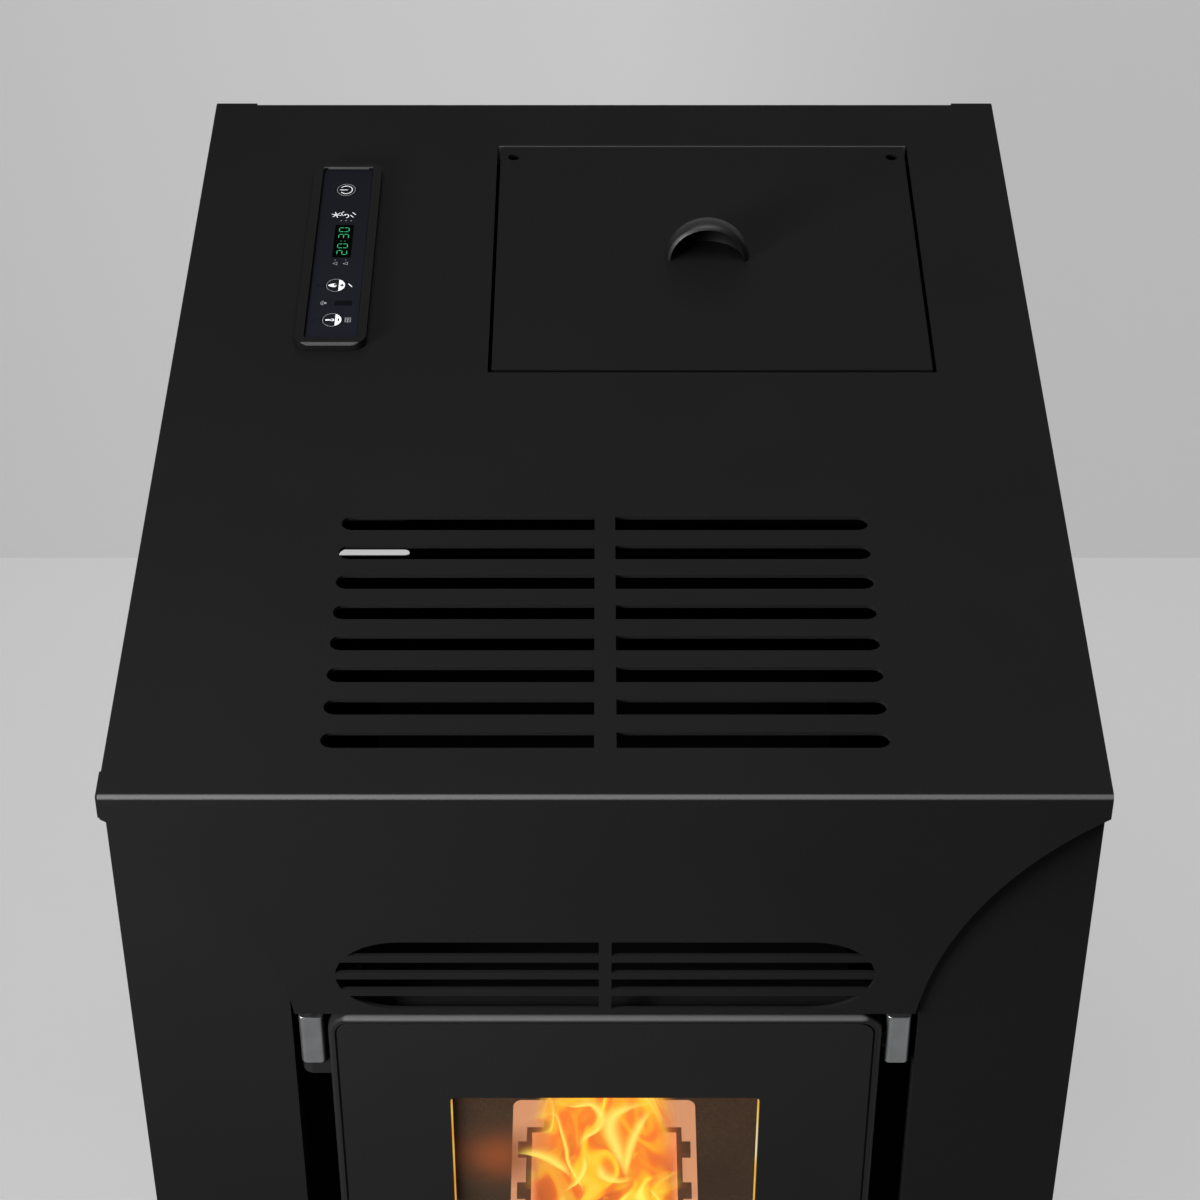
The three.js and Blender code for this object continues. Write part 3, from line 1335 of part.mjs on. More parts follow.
// ---- Blower ----
function makeBlower() {
  const wall = 2;
  const y = [blowerY - blowerCase, blowerY + blowerCase];
  const z = [trayTop + fit, blowerTop];
  const start = -Math.PI / 2;
  const casing = new THREE.Shape();
  casing.absarc(blowerY, blowerZ, blowerCase, start, 0);
  casing.lineTo(y[1], blowerTop);
  casing.lineTo(y[1] - wall, blowerTop);
  casing.absarc(blowerY, blowerZ, blowerCase - wall, 0, start, true);
  const x = [-blowerHalf, blowerHalf];
  const skin = extruded("yz", casing, x, 6);
  const tongue = block(x, [y[0], y[0] + wall], [blowerZ + 6, blowerTop]);
  const ends = [
    block([x[0] - wall, x[0] + 0.5], y, z),
    block([x[1] - 0.5, x[1] + wall], y, z),
  ];
  const bore = rod("x", shaftRadius + fit, [x[0] - 5, x[1] + 5], [blowerY, blowerZ], 16);
  addPiece("blower_housing", cut(join(skin, tongue, ...ends), bore), zinc);
  makeBlowerDrum();
  const motorX = [blowerHalf + wall + fit, blowerHalf + wall + fit + blowerMotorLength];
  const can = rod("x", blowerMotorRadius, motorX, [blowerY, blowerZ], 24);
  const socket = rod("x", shaftRadius + fit, [motorX[0] - 1, motorX[0] + 12], [blowerY, blowerZ], 16);
  addPiece("blower_motor", cut(can, socket), castIron);
}

function makeBlowerDrum() {
  const half = blowerHalf - 3;
  const blades = [];
  for (let i = 0; i < blowerBlades; i++) {
    const blade = new THREE.Shape();
    const middle = (blowerDrum + blowerDrumInner) / 2;
    blade.moveTo(blowerDrumInner, -0.8);
    blade.quadraticCurveTo(middle, 2, blowerDrum - 0.5, -0.8);
    blade.lineTo(blowerDrum - 0.5, 0.8);
    blade.quadraticCurveTo(middle, 3.6, blowerDrumInner, 0.8);
    blades.push(extruded("yz", blade, [-half + 1, half - 1], 2).rotate([(360 / blowerBlades) * i, 0, 0]));
  }
  const discs = [rod("x", blowerDrum, [-half, -half + 2], [0, 0], 28), rod("x", blowerDrum, [half - 2, half], [0, 0], 28)];
  const stubs = [
    rod("x", shaftRadius, [-blowerHalf - 2, -half + 1], [0, 0], 16),
    rod("x", shaftRadius, [half - 1, blowerHalf + 12], [0, 0], 16),
  ];
  addPiece("blower_impeller", join(discs[0], discs[1], ...blades, ...stubs), zinc).position.set(0, blowerY, blowerZ);
}

// ---- Ash chamber and drawer ----
function makeAshDrawer() {
  const chamber = cut(
    block([-chamberHalf, chamberHalf], [shellFront, chamberBack], [chamberBottom, fireBottom - fit]),
    block(
      [-chamberHalf + sheet, chamberHalf - sheet],
      [shellFront - 1, chamberBack - sheet],
      [chamberBottom + sheet, fireBottom + 1],
    ),
  );
  addPiece("ash_chamber", chamber, castIron);
  const z = [chamberBottom + sheet + fit, chamberBottom + sheet + drawerHeight];
  const pan = cut(
    block([-drawerHalf, drawerHalf], [sheet + fit, drawerBack], z),
    block(
      [-drawerHalf + drawerWall, drawerHalf - drawerWall],
      [sheet + fit + drawerWall, drawerBack - drawerWall],
      [z[0] + drawerWall, z[1] + 1],
    ),
  );
  addPiece("ash_drawer", pan, zinc);
  const pull = cupPull().rotate([90, 0, 0]);
  const grip = moved(pull, 0, 0.5, (drawerTop + drawerBottom) / 2);
  addPiece("drawer_front", join(panPanel([drawerBottom, drawerTop]), grip), blackPaint);
}

// ---- Electrics ----
function makeElectrics() {
  const wall = sideInner - fit;
  const face = wall - boardStandoff - boardThick;
  const along = (share) => boardFront + share * boardLength;
  const up = (share) => boardBottom + share * boardHeight;
  const board = block([face, face + boardThick], [along(0), along(1)], [up(0), up(1)]);
  const posts = [];
  for (const y of [along(0) + boardScrewInset, along(1) - boardScrewInset]) {
    for (const z of [up(0) + boardScrewInset, up(1) - boardScrewInset]) {
      posts.push(rod("x", boardStandoff / 3, [face, wall], [y, z], 12));
    }
  }
  const overlap = boardThick / 2;
  const component = (depth, y, z) => block([face - depth, face + overlap], y.map(along), z.map(up));
  const parts = [
    component(transformerDepth, [0.12, 0.36], [0.13, 0.35]),
    component(relayDepth, [0.44, 0.9], [0.1, 0.18]),
    component(relayDepth, [0.12, 0.9], [0.81, 0.89]),
  ];
  for (const share of [0.56, 0.72]) {
    const reach = [face - transformerDepth + 2, face + overlap];
    parts.push(rod("x", capacitorRadius, reach, [along(share), up(0.4)], 16));
  }
  addPiece("control_board", join(board, ...posts, ...parts), boardGreen);
  makeInlet();
}

// A mains inlet with three pins and a rocker switch above it.
function makeInlet() {
  const x = [inletX - inletWidth / 2, inletX + inletWidth / 2];
  const z = [inletZ - inletHeight / 2, inletZ + inletHeight / 2];
  const face = cabinetDepth + fit;
  const inside = (range, by) => [range[0] + by, range[1] - by];
  const flange = extruded("xz", roundedRectangle(x, z, 3), [face, face + 2], 2);
  const body = block(inside(x, 2 + fit), [face - inletDepth, face + 1], inside(z, 2 + fit));
  const socketZ = z[0] + 19;
  const socket = block([inletX - 12, inletX + 12], [face - socketDepth, face + 3], [socketZ - 8, socketZ + 8]);
  const rockerZ = z[1] - 15;
  const rockerHole = block(
    [inletX - rockerWidth / 2 - fit, inletX + rockerWidth / 2 + fit],
    [face - 12, face + 3],
    [rockerZ - rockerHeight / 2 - 1, rockerZ + rockerHeight / 2 + 1],
  );
  const pins = [-7, 0, 7].map((dx) =>
    block([inletX + dx - 1, inletX + dx + 1], [face - socketDepth - 1, face - 3], [socketZ - 2 + (dx ? 0 : 3), socketZ + 2 + (dx ? 0 : 3)]),
  );
  addPiece("mains_inlet", join(cut(join(flange, body), socket, rockerHole), ...pins), blackPlastic);
  const half = rockerHeight / 2;
  const tilt = Math.tan(THREE.MathUtils.degToRad(rockerAngle)) * half;
  const wedge = outline([
    [-8, -half + 2],
    [2 + tilt, -half],
    [1.5, 0],
    [2 - tilt, half],
    [-8, half - 2],
  ]);
  const rocker = extruded("yz", wedge, [-rockerWidth / 2, rockerWidth / 2]);
  addPiece("mains_rocker", rocker, rubber).position.set(inletX, face, rockerZ);
}

makeTopCover();
makeSidePanel("side_panel_left", -1);
makeSidePanel("side_panel_right", 1);
makeBackPanel();
makeBase();
makeFrontFrame();
makeControlPanel();
makeDoor();
makeHinges();
makeCatch();
makeFirebox();
makeBurnPot();
makeExchanger();
makeExhaust();
makeIntake();
makeFeed();
makeHopper();
makeLid();
makeBlower();
makeAshDrawer();
makeElectrics();

export default stove;
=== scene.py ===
import math
import random

import bmesh
import bpy
from bpy.props import FloatProperty, FloatVectorProperty, IntProperty, PointerProperty, StringProperty
from mathutils import Matrix, Vector


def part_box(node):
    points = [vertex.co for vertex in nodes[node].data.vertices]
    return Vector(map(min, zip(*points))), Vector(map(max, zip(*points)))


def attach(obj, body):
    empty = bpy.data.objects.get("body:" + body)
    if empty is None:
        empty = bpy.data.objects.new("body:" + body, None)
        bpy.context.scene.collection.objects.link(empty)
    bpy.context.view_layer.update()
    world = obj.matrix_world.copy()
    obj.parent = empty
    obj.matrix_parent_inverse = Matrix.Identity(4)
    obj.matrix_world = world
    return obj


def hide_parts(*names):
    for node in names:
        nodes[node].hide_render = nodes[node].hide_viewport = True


bl_info = {
    "name": "Pellet stove",
    "version": (1, 0, 0),
    "blender": (4, 5, 0),
    "location": "View3D > Sidebar > Stove",
    "description": "Dresses the steel frame of a pellet stove with its visible pieces and finishes",
    "category": "Object",
}

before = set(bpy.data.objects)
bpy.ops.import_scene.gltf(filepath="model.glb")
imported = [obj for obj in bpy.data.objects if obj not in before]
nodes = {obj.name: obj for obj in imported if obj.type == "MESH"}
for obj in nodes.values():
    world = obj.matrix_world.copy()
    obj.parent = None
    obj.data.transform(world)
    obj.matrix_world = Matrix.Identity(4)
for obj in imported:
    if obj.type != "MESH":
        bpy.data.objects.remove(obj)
WALL_Y = 0.98  # the wall behind the stove, at the line where the photograph's floor ends
ROOM = 4  # half of the floor's width

# The camera, worked out from the edges of the stove's top and front
LENS = 96.95
CAMERA_PLACE = (-0.00245, -1.3608, 1.9044)
CAMERA_TILT = 50.12


# ---- Sizes and colours that a user would change ----

def length(name, text, default):
    return FloatProperty(name=name, description=text, default=default, unit="LENGTH", precision=5)


def paint(name, text, default):
    return FloatVectorProperty(name=name, description=text, default=default, subtype="COLOR", size=3, min=0, max=1)


class StoveSizes(bpy.types.PropertyGroup):
    """Sizes of the pieces that are made here."""

    edge: length("Sheet edge", "Rounding of the cut edges of the steel sheets", 0.0003)
    soft_edge: length("Cast edge", "Rounding of cast and moulded edges", 0.0008)
    seat_edge: length("Seat edge", "Rounding of the seat under the burn pot", 0.001)
    pot_edge: length("Pot edge", "Rounding of the burn pot's rim and holes", 0.0006)
    bezel_edge: length("Bezel edge", "Rounding of the control panel's frame", 0.0018)
    pull_radius: length("Pull radius", "Outer radius of the lid's finger pull", 0.0243)
    pull_wall: length("Pull wall", "Wall of the finger pull at its lip", 0.0037)
    pull_lip: length("Pull lip", "Depth of the pull's rounded lip", 0.012)
    pellet_radius: length("Pellet radius", "Radius of one pellet", 0.003)
    pellet_count: IntProperty(name="Pellets", description="Glowing pellets in the burn pot", default=150, min=0)
    flame_height: length("Flame height", "Height of the flames over the burn pot", 0.135)
    window_margin: length("Window margin", "How far the door's frame covers the glass", 0.01)
    display_text: StringProperty(name="Display", description="Digits of the clock", default="20:30")


class StoveColours(bpy.types.PropertyGroup):
    """Colours of the finishes, as they look under white light."""

    body: paint("Cover", "Powder coat of the cover, the door and the fronts", (0.0062, 0.0062, 0.0062))
    sides: paint("Sides", "Powder coat of the side panels", (0.0058, 0.0058, 0.0059))
    inside: paint("Inside", "Heat resistant black of the inner pieces", (0.0014, 0.0013, 0.0012))
    zinc: paint("Zinc", "Zinc plate of the hinge blocks", (0.25, 0.255, 0.26))
    steel: paint("Steel", "Bare steel", (0.38, 0.38, 0.39))
    lining: paint("Lining", "Pressed boards that line the firebox", (0.34, 0.24, 0.15))
    seat: paint("Seat", "Heat-washed plate that the burn pot rests on", (0.8, 0.53, 0.38))
    iron: paint("Iron", "Cast burn pot", (0.055, 0.028, 0.016))
    glass: paint("Glass", "Smoke of the door's glass", (0.085, 0.05, 0.03))
    panel: paint("Panel", "Film of the control panel", (0.0045, 0.0049, 0.0072))
    digit: paint("Digits", "Light of the clock's digits", (0.02, 0.75, 0.28))
    print_white: paint("Marks", "Printed marks of the control panel", (0.75, 0.77, 0.8))
    flame_low: paint("Flame edge", "Colour of the flame's edge", (0.9, 0.16, 0.012))
    flame_high: paint("Flame core", "Colour of the flame's core", (1.0, 0.47, 0.012))


# ---- Shader maths ----

class Value:
    """A number that comes out of a node, to be used in sums."""

    def __init__(self, finish, socket):
        self.finish = finish
        self.socket = socket

    def sum(self, operation, *values):
        settings = {"operation": operation}
        return self.finish.node("ShaderNodeMath", settings, dict(enumerate(values)))

    def __add__(self, other):
        return self.sum("ADD", self, other)

    def __radd__(self, other):
        return self.sum("ADD", other, self)

    def __sub__(self, other):
        return self.sum("SUBTRACT", self, other)

    def __rsub__(self, other):
        return self.sum("SUBTRACT", other, self)

    def __mul__(self, other):
        return self.sum("MULTIPLY", self, other)

    def __rmul__(self, other):
        return self.sum("MULTIPLY", other, self)

    def __abs__(self):
        return self.sum("ABSOLUTE", self)

    def __pow__(self, exponent):
        return self.sum("POWER", self, exponent)

    def sine(self):
        return self.sum("SINE", self)


class Finish:
    """A material and the nodes that are added to it."""

    def __init__(self, name):
        self.material = bpy.data.materials.new(name)
        self.material.use_nodes = True
        self.tree = self.material.node_tree
        self.shader = self.tree.nodes["Principled BSDF"]
        self.place = self.node("ShaderNodeTexCoord", output="Object")

    def node(self, kind, settings=None, sockets=None, output=0):
        """One node: its settings are set first, then its sockets get values or links."""
        made = self.tree.nodes.new(kind)
        for key, value in (settings or {}).items():
            if key == "stops":
                ramp = made.color_ramp
                while len(ramp.elements) < len(value):
                    ramp.elements.new(0.5)
                for element, (position, colour) in zip(ramp.elements, value):
                    element.position = position
                    element.color = (*colour, 1)
            else:
                setattr(made, key, value)
        for key, value in (sockets or {}).items():
            if isinstance(value, Value):
                self.tree.links.new(value.socket, made.inputs[key])
            else:
                made.inputs[key].default_value = value
        return Value(self, made.outputs[output])

    def axis(self, letter, place=None):
        return self.node("ShaderNodeSeparateXYZ", sockets={0: place or self.place}, output=letter)

    def scaled(self, x, y, z):
        return self.node("ShaderNodeMapping", sockets={"Vector": self.place, "Scale": (x, y, z)})

    def moved(self, place, distance):
        return self.node("ShaderNodeVectorMath", {"operation": "ADD"}, {0: place, 1: (distance, distance, 0)})

    def noise(self, scale, detail=2, place=None, roughness=0.5, distortion=0):
        return self.node("ShaderNodeTexNoise", sockets={
            "Vector": place or self.place, "Scale": scale, "Detail": detail, "Roughness": roughness,
            "Distortion": distortion})

    def between(self, value, low, high, start=0, end=1):
        return self.node("ShaderNodeMapRange", {"interpolation_type": "SMOOTHSTEP"}, {
            "Value": value, "From Min": low, "From Max": high, "To Min": start, "To Max": end})

    def mix(self, low, high, factor):
        colour = lambda value: value if isinstance(value, Value) else (*value, 1)
        sockets = {0: factor, 6: colour(low), 7: colour(high)}
        return self.node("ShaderNodeMix", {"data_type": "RGBA"}, sockets, output=2)

    def bump(self, height, strength, distance):
        return self.node("ShaderNodeBump", sockets={"Height": height, "Strength": strength, "Distance": distance})

    def surface(self, **sockets):
        for key, value in sockets.items():
            socket = self.shader.inputs[key.replace("_", " ")]
            if isinstance(value, Value):
                self.tree.links.new(value.socket, socket)
            elif socket.type == "RGBA":
                socket.default_value = (*value, 1)
            else:
                socket.default_value = value
        return self.material

    def backdrop(self, colour, share):
        """Evens out a room that is seen directly or in gloss, leaves the light that it sheds alone, and is
        clear from behind."""
        seen = self.node("ShaderNodeLightPath", output="Is Camera Ray")
        for ray in ("Is Glossy Ray", "Is Transmission Ray"):
            seen = seen + self.node("ShaderNodeLightPath", output=ray)
        plain = self.node("ShaderNodeEmission", sockets={"Color": (*colour, 1), "Strength": 1.0})
        both = self.node("ShaderNodeMixShader", sockets={
            0: seen * share, 1: Value(self, self.shader.outputs[0]), 2: plain})
        behind = self.node("ShaderNodeNewGeometry", output="Backfacing")
        clear = self.node("ShaderNodeBsdfTransparent")
        both = self.node("ShaderNodeMixShader", sockets={0: behind, 1: both, 2: clear})
        self.tree.links.new(both.socket, self.tree.nodes["Material Output"].inputs["Surface"])


def tint(colour, share):
    return tuple(min(1, part * share) for part in colour)


def grey(level):
    return (level, level, level)


finishes = {}


def powder_coat(name, colour, roughness, gloss=0.25, grain=0.25, painted_highlight=None):
    """Baked paint: a fine orange peel, faint clouds and a little dust, and a painted highlight along chosen edges."""
    coat = Finish(name)
    clouds = coat.noise(9, 3)
    peel = coat.noise(1700, 2)
    dust = coat.between(coat.noise(420, 4, roughness=0.7), 0.68, 0.8)
    base = coat.mix(tint(colour, 0.9), tint(colour, 1.12), clouds)
    base = coat.mix(base, tint(colour, 2.2), dust * 0.25)
    if painted_highlight:
        # painted highlight: a pale grey laid on the edges that the mask picks out
        base = coat.mix(base, grey(0.055), painted_highlight(coat))
    rough = roughness + (clouds - 0.5) * 0.1 + dust * 0.1
    return coat.surface(
        Base_Color=base, Roughness=rough, Specular_IOR_Level=gloss, Normal=coat.bump(peel, grain, 0.00006))


def cover_painted_highlights(coat):
    """Painted highlights: the fold over the front, and the cut edge behind the lid."""
    low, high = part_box("top_cover")
    (left, _, _), (right, back, _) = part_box("hopper_lid")
    crest = high[2] - low[1]
    fold = coat.between(coat.axis("Z") - coat.axis("Y"), crest - 0.0023, crest - 0.0018)
    across, along = abs(coat.axis("X") - (left + right) / 2), coat.axis("Y")
    gap = (right - left) / 2 + 0.002
    cut = coat.between(along, back + 0.0012, back + 0.0014) * coat.between(along, back + 0.0022, back + 0.0019)
    return fold + cut * coat.between(across, gap, gap - 0.001)


def door_painted_highlight(coat):
    """A painted highlight on the rounded top edge of the door."""
    low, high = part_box("door_frame")
    crest = high[2] - low[1] - 0.0018
    return coat.between(coat.axis("Z") - coat.axis("Y"), crest - 0.0011, crest - 0.0002)


def plated(name, colour, roughness, streak=(1, 1, 14)):
    """Zinc plate or bare steel with the faint lines of the rolling mill."""
    metal = Finish(name)
    lines = metal.noise(240, 3, metal.scaled(*streak))
    spangle = metal.noise(85, 2)
    base = metal.mix(tint(colour, 0.72), tint(colour, 1.1), spangle)
    rough = roughness + lines * 0.14
    return metal.surface(Base_Color=base, Roughness=rough, Metallic=1.0, Normal=metal.bump(lines, 0.12, 0.0001))


def cast(name, colour, roughness):
    """Sand-cast iron with heat stains."""
    iron = Finish(name)
    sand = iron.noise(900, 3, roughness=0.65)
    stain = iron.noise(28, 3)
    base = iron.mix(tint(colour, 0.75), tint(colour, 1.5), stain)
    rough = roughness + (sand - 0.5) * 0.15
    return iron.surface(Base_Color=base, Roughness=rough, Metallic=0.2, Normal=iron.bump(sand, 0.5, 0.0002))


def fired_pot(colours):
    """The cast pot: brown outside and on its rim, its inner walls paler towards the rim, with painted firelight on
    it, strongest inside.
    """
    pot = Finish("fired_pot")
    low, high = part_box("burn_pot")
    middle = (low[1] + high[1]) / 2
    wall, fade = 0.0074, 0.0006  # from the lugs to the inner face, and the width of its edge
    sand = pot.noise(900, 3, roughness=0.65)
    stain = pot.noise(34, 3)
    across, along, up = abs(pot.axis("X")), abs(pot.axis("Y") - middle), pot.axis("Z")
    inner = pot.between(up, high[2] - 0.0008, high[2] - 0.0016)
    for place, side in ((across, high[0]), (along, high[1] - middle)):
        inner = inner * pot.between(place, side - wall, side - wall - fade)
    wash = pot.mix((0.55, 0.16, 0.035), (0.95, 0.5, 0.3), pot.between(up + (stain - 0.5) * 0.02, 0.42, 0.472))
    base = pot.mix(tint(colours.iron, 0.75), tint(colours.iron, 1.4), stain)
    base = pot.mix(base, wash, inner * 0.85)
    # painted firelight: the pot glows in the colours of the fire though it is no lamp
    glow = pot.mix((0.10, 0.03, 0.012), wash, inner)
    return pot.surface(
        Base_Color=base, Roughness=0.75 + (sand - 0.5) * 0.15, Emission_Color=glow, Emission_Strength=0.5,
        Normal=pot.bump(sand, 0.5, 0.0002))


def firebox_walls(colours):
    """Sooted steel, brown in the light of the fire and dark everywhere else."""
    walls = Finish("firebox_soot")
    soot = walls.noise(26, 3)
    (_, front, floor), (side, _, top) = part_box("firebox_shell")
    across, along, up = abs(walls.axis("X")), walls.axis("Y"), walls.axis("Z")
    near = walls.between(across, side - 0.0045, side / 2) * walls.between(along, front - 0.02, front + 0.01)
    near = near * walls.between(up, floor - 0.005, floor + 0.075) * walls.between(up, top - 0.006, top - 0.015)
    base = walls.mix(colours.inside, (0.05, 0.033, 0.024), near)
    glow = walls.mix((0.045, 0.024, 0.013), (0.085, 0.045, 0.026), soot)
    return walls.surface(
        Base_Color=base, Roughness=0.9, Specular_IOR_Level=0.02, Emission_Strength=0.4,
        Emission_Color=walls.mix((0, 0, 0), glow, near), Normal=walls.bump(soot, 0.3, 0.001))


def moulded(name, colour, roughness, gloss=0.3, painted_highlight=None):
    """Moulded plastic with a fine spark-eroded texture, and a painted highlight along chosen edges."""
    plastic = Finish(name)
    grain = plastic.noise(2600, 2)
    base = plastic.mix(tint(colour, 0.92), tint(colour, 1.08), plastic.noise(40, 2))
    if painted_highlight:
        # painted highlight: a pale grey laid on the edges that the mask picks out
        base = plastic.mix(base, grey(0.05), painted_highlight(plastic))
    rough = roughness + (grain - 0.5) * 0.08
    return plastic.surface(
        Base_Color=base, Roughness=rough, Specular_IOR_Level=gloss, Normal=plastic.bump(grain, 0.15, 0.00003))


def bezel_painted_highlights(plastic):
    """Painted highlights: the bezel's front edge, and the back wall of its recess."""
    low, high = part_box("control_bezel")
    along, up = plastic.axis("Y"), plastic.axis("Z")
    crest = high[2] - low[1] - 0.00105
    front = plastic.between(up - along, crest - 0.0005, crest - 0.0001)
    (left, _, _), (right, back, _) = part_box("control_overlay")
    across, half = abs(plastic.axis("X") - (left + right) / 2), (right - left) / 2
    wall = plastic.between(along, back + 0.0001, back + 0.0003)
    wall = wall * plastic.between(along, back + 0.0012, back + 0.0009)
    return front + wall * plastic.between(across, half + 0.00025, half - 0.00015)


def pressed_board(name, colour):
    """Vermiculite: gold and grey flakes, sooty towards the fire."""
    board = Finish(name)
    flakes = board.node("ShaderNodeTexVoronoi", sockets={"Vector": board.place, "Scale": 420}, output="Distance")
    soot = board.between(board.noise(16, 3), 0.35, 0.7)
    base = board.mix(tint(colour, 0.6), tint(colour, 1.3), flakes)
    base = board.mix(base, tint(colour, 0.18), soot * 0.75)
    return board.surface(Base_Color=base, Roughness=0.95, Normal=board.bump(flakes, 0.4, 0.0004))


def glowing(name, colour, strength):
    """Lit segments behind a dark window."""
    lamp = Finish(name)
    shade = lamp.mix(tint(colour, 0.8), colour, lamp.noise(300, 2))
    return lamp.surface(Base_Color=(0, 0, 0), Emission_Color=shade, Emission_Strength=strength, Roughness=0.5)


def make_finishes(colours):
    """All finishes, by the names that the pieces ask for."""
    finishes["cover"] = powder_coat("cover_paint", colours.body, 0.36, 0.01)
    # the cover's paint with painted highlights on its front fold and behind the lid
    finishes["folded"] = powder_coat("cover_paint_painted_highlights", colours.body, 0.36, 0.01, painted_highlight=cover_painted_highlights)
    # The door's paint is the cover's made lighter as painted light, with a painted highlight on its top edge
    finishes["door"] = powder_coat("door_paint_painted_light", tint(colours.body, 1.28), 0.36, 0.01, painted_highlight=door_painted_highlight)
    finishes["sides"] = powder_coat("side_paint", colours.sides, 0.42, 0.01)
    finishes["inside"] = powder_coat("inner_black", colours.inside, 0.9, 0.01, 0.4)
    finishes["zinc"] = plated("zinc_plate", colours.zinc, 0.32)
    # A copy of the zinc darkened as painted shade, for the pieces inside the cabinet
    finishes["zinc_painted_shade"] = plated("zinc_painted_shade", tint(colours.zinc, 0.35), 0.45)
    finishes["steel"] = plated("bare_steel", colours.steel, 0.3, (14, 1, 1))
    finishes["spigot"] = powder_coat("pipe_paint", colours.body, 0.6)
    for name, seed, strength in (
            ("flame_front", 3.7, 1.75), ("flame_middle", 8.2, 1.5), ("flame_back", 14.6, 1.4)):
        finishes[name] = flame_curtain(name, colours, seed, strength)
    finishes["flame_glow"] = flame_glow(colours)
    finishes["flame_tongue"] = flame_tongue(colours)
    finishes["pot"] = fired_pot(colours)
    finishes["firebox"] = firebox_walls(colours)
    finishes["dark_iron"] = cast("black_iron", tint(colours.inside, 1.6), 0.75)
    finishes["board"] = pressed_board("lining_board", colours.lining)
    finishes["bezel"] = moulded("bezel_plastic_painted_highlights", grey(0.0045), 0.36, 0.03, bezel_painted_highlights)
    finishes["plastic"] = moulded("black_plastic", grey(0.0045), 0.36, 0.06)
    finishes["gloss"] = moulded("pull_plastic", grey(0.0015), 0.48, 0.3)
    finishes["rubber"] = moulded("foot_rubber", grey(0.012), 0.75)
    finishes["panel"] = panel_film(colours)
    finishes["marks"] = printed("panel_marks", colours.print_white)
    finishes["faint_marks"] = printed("panel_faint_marks", tint(colours.print_white, 0.3))
    finishes["dark"] = moulded("panel_window", grey(0.0003), 0.5, 0.005)
    finishes["sensor"] = moulded("sensor_window", tint(colours.panel, 0.5), 0.5, 0.01)
    finishes["digit"] = glowing("clock_light", colours.digit, 0.9)
    finishes["seat"] = seat_plate(colours)
    finishes["glass"] = smoked_glass(colours)
    finishes["rope"] = braided_rope()
    finishes["circuit"] = circuit_board()
    finishes["ember"] = ember_bed()
    finishes["glass_edge"] = lit_glass_edge()


def panel_film(colours):
    """The control panel's film: blue-black, darker towards its back as painted shade, and with painted shade along
    the edges of its recess.
    """
    film = Finish("panel_film")
    across, along = film.axis("X"), film.axis("Y")
    (left, front, _), (right, back, _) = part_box("control_overlay")
    # painted shade: lighter at the front of the film, darker towards its back
    shade = film.between(along, front - 0.004, back + 0.018)
    base = film.mix(tint(colours.panel, 1.35), colours.panel, shade)
    # painted shade: near black along the edges of the recess
    inner = film.between(across, left + 0.0003, left + 0.0011)
    inner = inner * film.between(along, front + 0.0003, front + 0.0014)
    inner = inner * film.between(along, back - 0.0002, back - 0.001)
    return film.surface(
        Base_Color=film.mix(grey(0.0004), base, inner), Roughness=0.45, Specular_IOR_Level=0.015,
        Normal=film.bump(film.noise(3200, 2), 0.2, 0.00002))


def printed(name, colour):
    """Screen-printed ink, a little worn."""
    ink = Finish(name)
    wear = ink.between(ink.noise(900, 3), 0.3, 0.75)
    return ink.surface(Base_Color=ink.mix(tint(colour, 0.75), colour, wear), Roughness=0.5)


def seat_plate(colours):
    """The cradle: pale on its top with painted firelight there, dark and rough below."""
    plate = Finish("seat_plate")
    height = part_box("burn_pot_cradle")[1][2]
    top = plate.between(plate.axis("Z"), height - 0.008, height - 0.0005)
    wash = plate.noise(38, 3)
    light = plate.mix(tint(colours.seat, 0.8), tint(colours.seat, 1.1), wash)
    ash = plate.between(plate.noise(600, 4, roughness=0.7), 0.6, 0.8)
    light = plate.mix(light, (0.6, 0.52, 0.46), ash * 0.4)
    base = plate.mix((0.05, 0.03, 0.02), light, top)
    # painted firelight on the cradle's top, though it is no lamp
    glow = plate.mix((0, 0, 0), (1.0, 0.46, 0.24), top)
    return plate.surface(
        Base_Color=base, Roughness=0.75, Emission_Color=glow, Emission_Strength=0.85,
        Normal=plate.bump(ash, 0.2, 0.0002))


def smoked_glass(colours):
    """Ceramic glass: clear enough to show the fire, with a brown haze."""
    pane = Finish("smoked_glass")
    soot = pane.noise(22, 3)
    haze = pane.mix(tint(colours.glass, 0.8), tint(colours.glass, 1.3), soot)
    alpha = 0.2 + (soot - 0.5) * 0.05
    pane.material.surface_render_method = "BLENDED"
    return pane.surface(Base_Color=haze, Roughness=0.04, Specular_IOR_Level=0.12, Alpha=alpha)


def braided_rope():
    """The door's seal of braided glass fibre."""
    rope = Finish("gasket_rope")
    x, z = rope.axis("X"), rope.axis("Z")
    weave = ((x + z) * 1900).sine() * ((x - z) * 1900).sine()
    fluff = rope.noise(1500, 3)
    base = rope.mix((0.1, 0.095, 0.088), (0.2, 0.19, 0.175), fluff)
    return rope.surface(Base_Color=base, Roughness=0.95, Normal=rope.bump(weave, 0.7, 0.0006))


def circuit_board():
    """Green solder resist over copper tracks."""
    board = Finish("circuit_board")
    tracks = board.between(board.noise(260, 0), 0.5, 0.53)
    base = board.mix((0.006, 0.05, 0.018), (0.02, 0.11, 0.045), tracks)
    return board.surface(Base_Color=base, Roughness=0.4, Normal=board.bump(tracks, 0.2, 0.00005))


